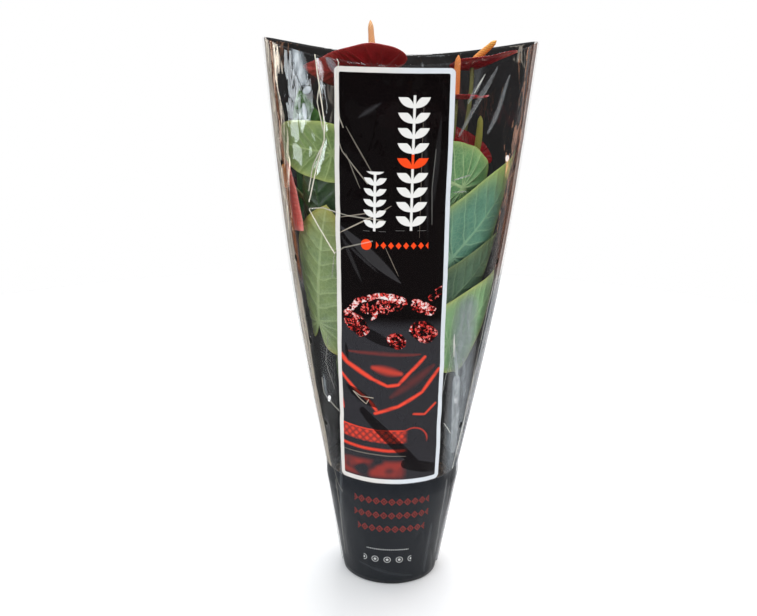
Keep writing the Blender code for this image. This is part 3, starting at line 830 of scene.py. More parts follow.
@dataclass(frozen=True)
class BladeFinish:
    """One side of a leaf or spathe.

    The place on the blade comes from its UV map: across and along, both as a
    share of the reach to the tip, mapped to 0..1.
    """

    name: str
    flesh: Colour
    shadow: Colour
    vein: Colour
    edge: Colour
    roughness: float = 0.35
    coat: float = 0.0
    vein_width: float = 0.011
    vein_show: float = 0.6
    relief: float = 0.0006
    tip: Colour | None = None

    def make(self) -> bpy.types.Material:
        """Builds the material, or finds it.

        Returns:
            The material.
        """
        known = bpy.data.materials.get(self.name)
        if known:
            return known
        material, sketch, shader = start_material(self.name)
        flat = sketch.node("UVMap", uv_map="blade").outputs["UV"]
        u, v, _ = sketch.split(flat)
        across = sketch.minus(sketch.times(u, 2.0), 1.0)
        along = sketch.minus(sketch.times(v, 2.0), 1.0)
        place = sketch.join(across, along)
        veins = sketch.effect(vein_effect(), Place=place, Width=self.vein_width)
        patch = sketch.effect(mottle_effect(), Place=place, Scale=4.0, Contrast=2.4)
        rim = sketch.node("Attribute", attribute_name="rim").outputs["Fac"]
        colour = sketch.blend(patch["Amount"], self.shadow, self.flesh)
        colour = sketch.blend(sketch.times(veins["Web"], self.vein_show * 0.35), colour, self.vein)
        lines = sketch.either(veins["Rib"], sketch.times(veins["Lateral"], 0.8))
        colour = sketch.blend(sketch.times(lines, self.vein_show), colour, self.vein)
        if self.tip:
            colour = sketch.blend(sketch.rise(along, 0.48, 0.86), colour, self.tip)
        at_edge = sketch.math("POWER", rim, 9.0)
        colour = sketch.blend(sketch.times(at_edge, 0.75), colour, self.edge)
        height = sketch.add(
            sketch.times(veins["Pillow"], -0.9),
            sketch.times(veins["Web"], 0.10),
            sketch.times(patch["Specks"], 0.12),
        )
        sketch.feed(shader.inputs["Base Color"], colour)
        rough = sketch.add(self.roughness - 0.06, sketch.times(patch["Specks"], 0.12))
        sketch.feed(shader.inputs["Roughness"], rough)
        sketch.feed(shader.inputs["Normal"], sketch.bump(height, self.relief))
        shader.inputs["Coat Weight"].default_value = self.coat
        shader.inputs["Coat Roughness"].default_value = 0.08
        return material


class LeafTone(Enum):
    """Undersides of the leaves, which face the film, from pale to dark; the two darkest carry painted shade.
    """

    PALE = BladeFinish(
        "leaf_under_pale", shade(0.215, 0.300, 0.085), shade(0.085, 0.160, 0.036), shade(0.42, 0.52, 0.22),
        shade(0.46, 0.52, 0.13), 0.40, vein_show=0.5,
    )
    OLIVE = BladeFinish(
        "leaf_under_olive", shade(0.255, 0.330, 0.110), shade(0.125, 0.200, 0.080), shade(0.40, 0.50, 0.24),
        shade(0.42, 0.36, 0.06), 0.42, vein_show=0.5,
    )
    MINT = BladeFinish(
        "leaf_under_mint", shade(0.300, 0.520, 0.250), shade(0.160, 0.360, 0.170), shade(0.48, 0.66, 0.38),
        shade(0.56, 0.56, 0.16), 0.38, vein_show=0.45,
    )
    SAGE = BladeFinish(
        "leaf_under_sage", shade(0.190, 0.390, 0.160), shade(0.070, 0.210, 0.075), shade(0.52, 0.66, 0.34),
        shade(0.40, 0.48, 0.14), 0.38, vein_show=0.6,
    )
    TEAL = BladeFinish(
        "leaf_under_teal", shade(0.150, 0.345, 0.230), shade(0.050, 0.170, 0.120), shade(0.34, 0.54, 0.32),
        shade(0.42, 0.50, 0.12), 0.34, vein_show=0.45, tip=shade(0.36, 0.48, 0.12),
    )
    # Painted shade: a darker copy of the underside, for a leaf that lies in shade.
    SHADED = BladeFinish(
        "leaf_under_shaded", shade(0.110, 0.200, 0.120), shade(0.040, 0.085, 0.050), shade(0.20, 0.30, 0.16),
        shade(0.20, 0.26, 0.09), 0.38, vein_show=0.4,
    )
    # Painted shade: darker than even the leaves' upper face, for leaves deep in the sleeve and at its back.
    DEEP = BladeFinish(
        "leaf_under_deep_shade", shade(0.028, 0.075, 0.018), shade(0.009, 0.026, 0.008), shade(0.060, 0.120, 0.035),
        shade(0.090, 0.130, 0.035), 0.34, vein_show=0.5,
    )


LEAF_FACE = BladeFinish(
    "leaf_face", shade(0.030, 0.105, 0.026), shade(0.014, 0.055, 0.014), shade(0.080, 0.19, 0.055),
    shade(0.075, 0.15, 0.035), 0.24, coat=0.35, vein_width=0.008, relief=0.0009,
)
SPATHE_FACE = BladeFinish(
    "spathe_face", shade(0.46, 0.010, 0.014), shade(0.26, 0.004, 0.008), shade(0.56, 0.030, 0.030),
    shade(0.30, 0.004, 0.010), 0.20, coat=0.9, vein_width=0.016, vein_show=0.25, relief=0.0016,
)
SPATHE_BACK = BladeFinish(
    "spathe_back", shade(0.36, 0.011, 0.016), shade(0.22, 0.006, 0.011), shade(0.42, 0.035, 0.035),
    shade(0.42, 0.045, 0.040), 0.40, coat=0.10, vein_width=0.014, vein_show=0.22, relief=0.0006,
    tip=shade(0.62, 0.10, 0.08),
)
YOUNG_SPATHE = BladeFinish(
    "young_spathe", shade(0.80, 0.085, 0.055), shade(0.66, 0.045, 0.034), shade(0.86, 0.22, 0.16),
    shade(0.85, 0.30, 0.26), 0.34, coat=0.2, vein_width=0.014, vein_show=0.20, relief=0.0006,
)


@dataclass(frozen=True)
class StalkFinish:
    """The skin of a leaf or flower stalk, which is darker at its foot."""

    name: str
    upper: Colour
    lower: Colour
    roughness: float = 0.38

    def make(self) -> bpy.types.Material:
        """Builds the material, or finds it.

        Returns:
            The material.
        """
        known = bpy.data.materials.get(self.name)
        if known:
            return known
        material, sketch, shader = start_material(self.name)
        place = sketch.node("TexCoord").outputs["Object"]
        x, y, z = sketch.split(place)
        stretched = sketch.join(sketch.times(x, 6.0), sketch.times(y, 6.0), z)
        streaks = sketch.effect(mottle_effect(), Place=stretched, Scale=30.0, Contrast=1.6)
        height = sketch.add(sketch.rise(z, 0.10, 0.26), sketch.times(streaks["Amount"], 0.4), -0.2)
        colour = sketch.blend(height, self.lower, self.upper)
        specks = sketch.rise(sketch.noise(place, 700.0, 1.0), 0.62, 0.74)
        colour = sketch.blend(sketch.times(specks, 0.35), colour, shade(0.50, 0.52, 0.30))
        sketch.feed(shader.inputs["Base Color"], colour)
        rough = sketch.add(self.roughness, sketch.times(streaks["Specks"], 0.10))
        sketch.feed(shader.inputs["Roughness"], rough)
        sketch.feed(shader.inputs["Normal"], sketch.bump(streaks["Amount"], 0.0004))
        return material


LEAF_STALK = StalkFinish("leaf_stalk", shade(0.24, 0.35, 0.11), shade(0.13, 0.16, 0.055))
FLOWER_STALK = StalkFinish("flower_stalk", shade(0.15, 0.15, 0.045), shade(0.12, 0.065, 0.030))


@dataclass(frozen=True)
class SpadixFinish:
    """Ripening of a spadix from its foot to its tip."""

    name: str
    foot: Colour
    tip: Colour

    def make(self) -> bpy.types.Material:
        """Builds the material.

        Returns:
            The material.
        """
        material, sketch, shader = start_material(self.name)
        ripe = sketch.node("Attribute", attribute_name="ripeness").outputs["Fac"]
        floret = sketch.node("Attribute", attribute_name="floret").outputs["Fac"]
        place = sketch.node("TexCoord").outputs["Object"]
        patch = sketch.effect(mottle_effect(), Place=place, Scale=160.0, Contrast=1.2)
        share = sketch.add(sketch.rise(ripe, 0.15, 0.85), sketch.times(patch["Amount"], 0.3), -0.15)
        colour = sketch.blend(share, self.foot, self.tip)
        # Painted shade: the grooves between the florets are darkened towards deep brown.
        groove_shade = sketch.blend(0.55, self.foot, shade(0.25, 0.08, 0.02))
        colour = sketch.blend(sketch.fall(floret, 0.05, 0.45), colour, groove_shade)
        sketch.feed(shader.inputs["Base Color"], colour)
        sketch.feed(shader.inputs["Roughness"], sketch.add(0.50, sketch.times(patch["Specks"], 0.15)))
        shader.inputs["Subsurface Weight"].default_value = 0.15
        shader.inputs["Subsurface Radius"].default_value = (0.002, 0.001, 0.0005)
        return material


class SpadixTone(Enum):
    """How each spadix has ripened."""

    APRICOT = SpadixFinish("spadix_apricot", shade(0.88, 0.46, 0.20), shade(0.90, 0.55, 0.26))
    YOLK = SpadixFinish("spadix_yolk", shade(0.80, 0.30, 0.05), shade(0.82, 0.45, 0.06))
    ORANGE = SpadixFinish("spadix_orange", shade(0.86, 0.24, 0.05), shade(0.86, 0.30, 0.07))
    GREEN = SpadixFinish("spadix_green", shade(0.34, 0.40, 0.07), shade(0.42, 0.48, 0.10))


@dataclass(frozen=True)
class PottingFinish:
    """Loose dark growing medium or the rough brown skin of the stem."""

    name: str
    dark: Colour
    light: Colour
    scale: float
    relief: float

    def make(self) -> bpy.types.Material:
        """Builds the material.

        Returns:
            The material.
        """
        material, sketch, shader = start_material(self.name)
        place = sketch.node("TexCoord").outputs["Object"]
        patch = sketch.effect(mottle_effect(), Place=place, Scale=self.scale, Contrast=2.6)
        grains = sketch.node("TexVoronoi", {"Vector": place, "Scale": self.scale * 9.0})
        tone, _, _ = sketch.split(grains.outputs["Color"])
        share = sketch.add(sketch.times(patch["Amount"], 0.55), sketch.times(tone, 0.45))
        sketch.feed(shader.inputs["Base Color"], sketch.blend(share, self.dark, self.light))
        height = sketch.add(patch["Specks"], sketch.times(grains.outputs["Distance"], -0.8))
        sketch.feed(shader.inputs["Normal"], sketch.bump(height, self.relief))
        sketch.feed(shader.inputs["Roughness"], sketch.add(0.80, sketch.times(patch["Amount"], 0.15)))
        return material


SOIL = PottingFinish("growing_medium", shade(0.018, 0.011, 0.007), shade(0.095, 0.055, 0.032), 90.0, 0.0012)
CHIPS = PottingFinish("coir_chips", shade(0.050, 0.028, 0.016), shade(0.21, 0.125, 0.070), 140.0, 0.0006)
CROWN = PottingFinish("crown_skin", shade(0.060, 0.045, 0.020), shade(0.24, 0.19, 0.085), 110.0, 0.0008)


@dataclass(frozen=True)
class PotFinish:
    """Thin black moulded plastic with soil dust and scuffs."""

    name: str = "pot_plastic"

    def make(self) -> bpy.types.Material:
        """Builds the material.

        Returns:
            The material.
        """
        material, sketch, shader = start_material(self.name)
        place = sketch.node("TexCoord").outputs["Object"]
        marks = sketch.effect(marks_effect(), Place=place)
        patch = sketch.effect(mottle_effect(), Place=place, Scale=45.0, Contrast=1.4)
        colour = sketch.blend(patch["Amount"], shade(0.011, 0.011, 0.012), shade(0.022, 0.022, 0.023))
        colour = sketch.blend(sketch.times(marks["Scuffs"], 0.5), colour, shade(0.075, 0.075, 0.076))
        colour = sketch.blend(sketch.times(marks["Dust"], 0.5), colour, shade(0.10, 0.075, 0.05))
        sketch.feed(shader.inputs["Base Color"], colour)
        rough = sketch.add(0.34, sketch.times(patch["Amount"], 0.14), sketch.times(marks["Scuffs"], 0.2))
        sketch.feed(shader.inputs["Roughness"], rough)
        sketch.feed(shader.inputs["Normal"], sketch.bump(patch["Specks"], 0.0002))
        return material


class Side(Enum):
    """The two film sheets, by the sign of Y on which each lies."""

    FRONT = -1
    BACK = 1


SHEET_SPAN = 0.40           # width and height that the film's UV map covers
PANEL_SHIFT = (0.0029, 0.0, 0.0)   # how far the print lies to the left of the sheet's middle
PANEL_WIDTH = 0.0935
PANEL_LEAN = 0.0032         # how far its top middle lies to the left of its foot
PANEL_NARROWS = -0.010      # share of its width that it loses towards the top
PANEL_LOW = 0.1080
PANEL_HIGH = 0.4620
PANEL_FRAME = 0.0040


@dataclass(frozen=True)
class FilmFinish:
    """Clear film that mirrors a little, printed in places.

    Where there is no ink the film is a white mirror that is nearly all see-through,
    and more mirror at a slant. Ink makes it a glossy, nearly opaque coat of colour.
    Painted reflections and painted highlights lie over both: tinted bands along the
    seams, pale streaky patches and light lines along the pressed creases; a thin weld
    line is drawn as well.
    """

    side: Side
    clear: float = 0.035
    slant: float = 0.75
    ink: float = 0.955
    smoke: float = 0.90
    smoke_colour: Colour = shade(0.010, 0.0085, 0.008)
    margin: float = 0.010
    # Opacity of the painted reflection bands along the seams.
    band: float = 0.55
    # Colour of the painted reflection patches.
    reflection_colour: Colour = shade(0.50, 0.54, 0.56)
    # Creases pressed into the sheet, each also drawn as a light painted highlight line.
    creases: tuple[Stroke, ...] = ()
    # Strokes of the pale, streaky painted reflections.
    reflection_strokes: tuple[Stroke, ...] = ()
    roughness: float = 0.040
    relief: float = 0.0030

    def make(self) -> bpy.types.Material:
        """Builds the material.

        Returns:
            The material.
        """
        material, sketch, shader = start_material(f"film_{self.side.name.lower()}")
        u, v, _ = sketch.split(sketch.node("UVMap", uv_map="sheet").outputs["UV"])
        x = sketch.times(sketch.minus(u, 0.5), SHEET_SPAN)
        z = sketch.times(v, SHEET_SPAN)
        place = sketch.join(x, z)
        seam = sketch.node("Attribute", attribute_name="from_seam").outputs["Fac"]
        marks = sketch.effect(marks_effect(), Place=place)
        is_front = 1.0 if self.side is Side.FRONT else 0.0
        foot = sketch.effect(foot_print_effect(), Place=place, Front=is_front)
        if self.side is Side.FRONT:
            panel = sketch.effect(panel_print_effect(), Place=sketch.vector("ADD", place, PANEL_SHIFT))
            colour = sketch.blend(foot["Cover"], panel["Colour"], foot["Colour"])
            cover = sketch.either(sketch.times(panel["Cover"], self.ink), sketch.times(foot["Cover"], 0.98))
        else:
            smoky = sketch.times(sketch.rise(seam, self.margin - 0.0003, self.margin + 0.0003), self.smoke)
            colour = sketch.blend(foot["Cover"], self.smoke_colour, foot["Colour"])
            cover = sketch.either(smoky, sketch.times(foot["Cover"], 0.98))
        cover = sketch.times(cover, sketch.rise(seam, 0.0024, 0.0030))
        facing = sketch.node("LayerWeight", {"Blend": 0.5}).outputs["Facing"]
        slanted = sketch.times(sketch.math("POWER", facing, 4.0), self.slant)
        scratched = sketch.add(sketch.times(marks["Scuffs"], 0.03), sketch.times(marks["Dust"], 0.02))
        bare = sketch.math("MINIMUM", sketch.add(self.clear, slanted, scratched), 0.95)
        inked = sketch.rise(cover, 0.05, 0.35)

        right = sketch.rise(x, -0.001, 0.001)
        left = sketch.minus(1.0, right)
        high = sketch.rise(z, 0.265, 0.300)
        low = sketch.minus(1.0, high)
        # Painted reflections along the seams: a pale yellow band on the left, rust bands high on both sides
        # and a bluish band low on the right stand for the surroundings seen in the film's edges.
        left_seam_reflection = sketch.times(sketch.within(seam, 0.0030, 0.0290, 0.0015), left)
        rust = sketch.either(
            sketch.times(sketch.within(seam, 0.0300, 0.0370, 0.0020), left, high),
            sketch.times(sketch.fall(seam, 0.0100, 0.0560), sketch.rise(seam, 0.0030, 0.0050), right, high),
        )
        right_seam_reflection = sketch.times(sketch.fall(seam, 0.0262, 0.0274), right, low)
        weld = sketch.times(sketch.within(seam, 0.0272, 0.0290, 0.0004), right, low)
        tint = sketch.blend(left_seam_reflection, shade(0.095, 0.115, 0.140), shade(0.52, 0.46, 0.38))
        tint = sketch.blend(rust, tint, shade(0.26, 0.085, 0.028))
        # Painted reflections: the reflection strokes, broken into streaks, lay pale bluish patches over the
        # film and, at 0.22, over the ink.
        streaks = sketch.noise(sketch.vector("MULTIPLY", place, (3.0, 1.0, 1.0)), 55.0, 3.0, 0.8)
        broken = sketch.add(0.35, sketch.times(streaks, 1.1))
        pale = sketch.times(draw_strokes(sketch, place, self.reflection_strokes), broken)
        # Painted highlights: the creases are drawn as light lines over the film and, at 0.45, over the ink,
        # and they also raise the bump.
        lines = draw_strokes(sketch, place, self.creases)
        highlight_and_weld_colour = sketch.blend(right, shade(0.86, 0.80, 0.66), shade(0.72, 0.72, 0.66))
        tint = sketch.blend(pale, tint, self.reflection_colour)
        tint = sketch.blend(sketch.either(lines, weld), tint, highlight_and_weld_colour)
        # How opaque the film gets under the painted reflections, the painted highlights and the weld line.
        painted_light_and_weld = sketch.either(
            sketch.times(left_seam_reflection, self.band), sketch.times(rust, self.band * 0.9),
            sketch.times(right_seam_reflection, self.band * 0.7),
            sketch.times(pale, 0.75), sketch.times(lines, 0.85), sketch.times(weld, 0.7),
        )
        solid = sketch.rise(painted_light_and_weld, 0.02, 0.30)
        ink_colour = sketch.blend(sketch.times(pale, 0.22), colour, self.reflection_colour)
        ink_colour = sketch.blend(sketch.times(lines, 0.45), ink_colour, highlight_and_weld_colour)
        film_colour = sketch.blend(solid, shade(1.0, 1.0, 1.0), tint)
        sketch.feed(shader.inputs["Base Color"], sketch.blend(inked, film_colour, ink_colour))
        sketch.feed(shader.inputs["Metallic"], sketch.minus(1.0, sketch.either(inked, solid)))
        sketch.feed(shader.inputs["Alpha"], sketch.either(bare, cover, painted_light_and_weld))
        rough = sketch.add(self.roughness, sketch.times(marks["Scuffs"], 0.10), sketch.times(inked, 0.02))
        sketch.feed(shader.inputs["Roughness"], rough)
        crackle = sketch.effect(crinkle_effect(), Place=place)
        height = sketch.add(crackle["Height"], sketch.times(lines, 0.12))
        sketch.feed(shader.inputs["Normal"], sketch.bump(height, self.relief))
        return material


# ------------------------------------------------------------------ the sleeve's form


@dataclass(frozen=True)
class SleeveForm:
    """The film's inner face: a cone round the pot that opens to an oval mouth."""

    pot_height: float
    rim_radius: float
    side_height: float
    mouth_half_width: float
    mouth_half_depth: float
    foot: float
    base_radius: float = 0.042
    rim_depth: float = 0.0095
    rim_step: float = 0.0020
    middle_height: float = 0.464
    belly: float = 0.12
    pinch: float = 0.20
    clearance: float = 0.0006
    film: float = 0.0004
    seam_width: float = 0.0020

    @classmethod
    def from_frame(cls) -> "SleeveForm":
        """Reads the form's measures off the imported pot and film.

        Returns:
            The form.
        """
        _, pot_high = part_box("nursery_pot")
        low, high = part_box("sleeve_front_sheet")
        form = cls(
            pot_height=pot_high.z,
            rim_radius=pot_high.x,
            side_height=high.z,
            mouth_half_width=high.x - cls.film - cls.seam_width,
            mouth_half_depth=0.0,
            foot=low.z,
        )
        share = form.share_up(form.middle_height)
        reach = share - form.belly * math.sin(math.pi * share)
        on_rim = form.rim_radius + form.clearance
        half_depth = on_rim + (-low.y - form.film - on_rim) / reach
        return replace(form, mouth_half_depth=half_depth)

    @property
    def band_foot(self) -> float:
        """Height where the pot's wall starts to step out to its rim band."""
        return self.pot_height - self.rim_depth - self.rim_step / 2

    def share_up(self, height: Array | float) -> Array | float:
        """How far up a height is from the pot's rim to the top corners, from 0 to 1."""
        return (height - self.pot_height) / (self.side_height - self.pot_height)

    def section(self, height: Array) -> tuple[Array, Array, Array]:
        """The oval at a height.

        Args:
            height: one or more heights.

        Returns:
            Half width, half depth, and how pointed the oval is at its sides.
        """
        height = np.asarray(height, float)
        on_rim = self.rim_radius + self.clearance
        on_foot = self.base_radius + self.clearance
        cone = on_foot + (on_rim - on_foot) * np.minimum(1.0, height / self.band_foot)
        share = self.share_up(height)
        swell = self.belly * np.sin(math.pi * share)
        half_width = on_rim + (self.mouth_half_width - on_rim) * (share + swell)
        half_depth = on_rim + (self.mouth_half_depth - on_rim) * (share - swell)
        above = height > self.pot_height
        pointed = np.where(above, self.pinch * np.clip(2.5 * share, 0, 1), 0.0)
        return np.where(above, half_width, cone), np.where(above, half_depth, cone), pointed

    def point(self, azimuth: Array, height: Array, depth: Array) -> Array:
        """Points on the shell that lies some depth inside the film."""
        half_width, half_depth, pointed = self.section(height)
        angle = np.radians(azimuth)
        across = np.sin(angle) * np.abs(np.sin(angle)) ** pointed
        x = (half_width - depth) * np.cos(angle)
        y = (half_depth - depth) * across
        return np.stack(np.broadcast_arrays(x, y, height), axis=-1).astype(float)

    def round_reach(self, azimuth: float, height: float, depth: float) -> float:
        """Length along the shell for one radian of azimuth."""
        half_width, half_depth, _ = self.section(height)
        angle = math.radians(azimuth)
        return math.hypot((half_width - depth) * math.sin(angle), (half_depth - depth) * math.cos(angle))

    def mouth(self, azimuth: Array) -> Array:
        """Height of the film's top edge, which dips between the side seams."""
        rise = self.side_height - self.middle_height
        return self.middle_height + rise * np.cos(np.radians(azimuth)) ** 2

    def outward(self, azimuth: float, height: float) -> Vector:
        """Level direction from the inside to the film."""
        way = self.point(azimuth, height, 0.0) - self.point(azimuth, height, 0.01)
        return Vector((way[0], way[1], 0)).normalized()


# Creases in the front film, in mm on the sheet: each presses the sheet in and is drawn with a painted
# highlight line.
FRONT_CREASES = (
    *chain([(-72.5, 473), (-63, 418), (-63.5, 405), (-81, 353)], 1.9, 0.6),
    *chain([(-72.5, 474), (-68, 446), (-70, 434), (-64.5, 413)], 1.5, 0.6, 0.8),
    *chain([(-65.5, 400), (-75.5, 383), (-81, 362)], 1.6, 0.6, 0.85),
    *chain([(-55, 473), (-49.5, 465), (-52.5, 438), (-52, 430), (-45.5, 416)], 1.5, 0.6, 0.8),
    *chain([(-52.5, 412), (-46, 397.5), (-25, 373)], 1.4, 0.6, 0.6),
    Stroke((-43, 417), (-19.5, 379), 1.6, 0.7, 0.4),
    Stroke((-43, 396), (-31, 369), 1.3, 0.6, 0.4),
    *chain([(-81, 347), (-65, 350), (-41.5, 346), (-12, 344)], 1.4, 0.6, 0.7),
    *chain([(-81, 346), (-66, 328), (-54, 313)], 2.0, 0.6, 0.95),
    *chain([(-54, 313), (-45, 319), (-20.5, 326.5)], 1.6, 0.6, 0.6),
    Stroke((-54, 313), (-57, 290), 1.2, 0.7, 0.45),
    Stroke((69, 457), (60, 443), 2.2, 0.7, 0.8),
    Stroke((76, 452), (50, 414), 1.3, 0.7, 0.4),
    Stroke((97, 452), (78, 414), 1.6, 0.7, 0.4),
    *chain([(45, 376), (60, 379)], 1.4, 0.7, 0.6),
    *chain([(45, 366), (57, 366)], 1.2, 0.7, 0.5),
    *chain([(28, 401), (26, 370), (27, 341)], 1.1, 0.7, 0.3),
    Stroke((53, 243), (54, 222), 2.4, 0.6, 0.9),
    *chain([(56, 236), (46, 206), (43, 188)], 1.1, 0.6, 0.5),
    *chain([(-72, 196), (-70, 182), (-50, 169)], 1.5, 0.6, 0.55),
    *chain([(-62, 238), (-66, 212), (-56, 190)], 1.2, 0.6, 0.45),
    *chain([(48, 160), (57, 148)], 1.5, 0.6, 0.7),
    *chain([(-60, 98), (-55, 70), (-52, 18)], 1.8, 0.8, 0.35),
    *chain([(-66, 112), (-56, 96), (-50, 90)], 1.6, 0.8, 0.3),
    *chain([(58, 100), (53, 60), (52, 20)], 1.5, 0.8, 0.3),
)
# Painted reflections on the front film, in mm on the sheet: pale patches where it mirrors bright
# surroundings.
FRONT_REFLECTIONS = (
    Stroke((-92, 474), (-84, 450), 22.0, 0.9, 1.0, 0.3),
    Stroke((-84, 441), (-76, 444), 8.0, 0.4, 0.9),
    Stroke((-84, 431), (-82, 420), 7.0, 0.3, 1.0),
    Stroke((-60, 470), (-50, 455), 10.0, 0.9, 0.5),
    Stroke((66, 452), (54, 436), 7.0, 0.9, 0.45),
    Stroke((80, 462), (47, 411), 8.0, 0.9, 0.32),
    Stroke((99, 455), (76, 412), 9.0, 0.7, 0.40),
    Stroke((54, 232), (58, 205), 5.0, 0.5, 0.9, 0.1),
    Stroke((58, 200), (64, 130), 15.0, 0.5, 0.9, 0.1),
    Stroke((66, 262), (64, 118), 46.0, 0.8, 0.62, 0.1),
    Stroke((-64, 246), (-62, 118), 34.0, 0.8, 0.14, 0.1),
    Stroke((-69, 200), (-66, 178), 6.0, 0.7, 0.55),
    Stroke((-50, 130), (-56, 20), 9.0, 1.0, 0.35),
    Stroke((58, 100), (53, 12), 13.0, 0.9, 0.55),
    Stroke((40, 60), (34, 8), 9.0, 1.0, 0.25),
    Stroke((-30, 20), (20, 8), 7.0, 1.0, 0.12),
)
# Creases in the back film: each presses the sheet in and is drawn with a faint painted highlight line.
BACK_CREASES = (
    *chain([(-60, 468), (-42, 420), (-46, 380), (-70, 310)], 1.1, 1.0, 0.22),
    *chain([(55, 470), (62, 420), (48, 390), (20, 330)], 1.1, 1.0, 0.22),
    *chain([(20, 300), (-4, 262), (-30, 220)], 1.1, 1.0, 0.22),
    *chain([(50, 240), (56, 200), (45, 150)], 1.1, 1.0, 0.22),
    *chain([(-50, 230), (-56, 190), (-42, 140)], 1.1, 1.0, 0.22),
    *chain([(0, 440), (14, 400), (6, 360)], 1.1, 1.0, 0.22),
    *chain([(-20, 90), (-28, 50), (-24, 20)], 1.1, 1.0, 0.22),
)
# Painted reflections on the back film, drawn like those on the front.
BACK_REFLECTIONS = (
    Stroke((-84, 470), (-72, 430), 16.0, 0.9, 0.5),
    Stroke((30, 450), (44, 390), 12.0, 0.9, 0.3),
    Stroke((60, 210), (62, 130), 16.0, 0.9, 0.4),
    Stroke((-40, 190), (-46, 130), 12.0, 0.9, 0.3),
    Stroke((20, 95), (18, 15), 12.0, 1.0, 0.3),
)


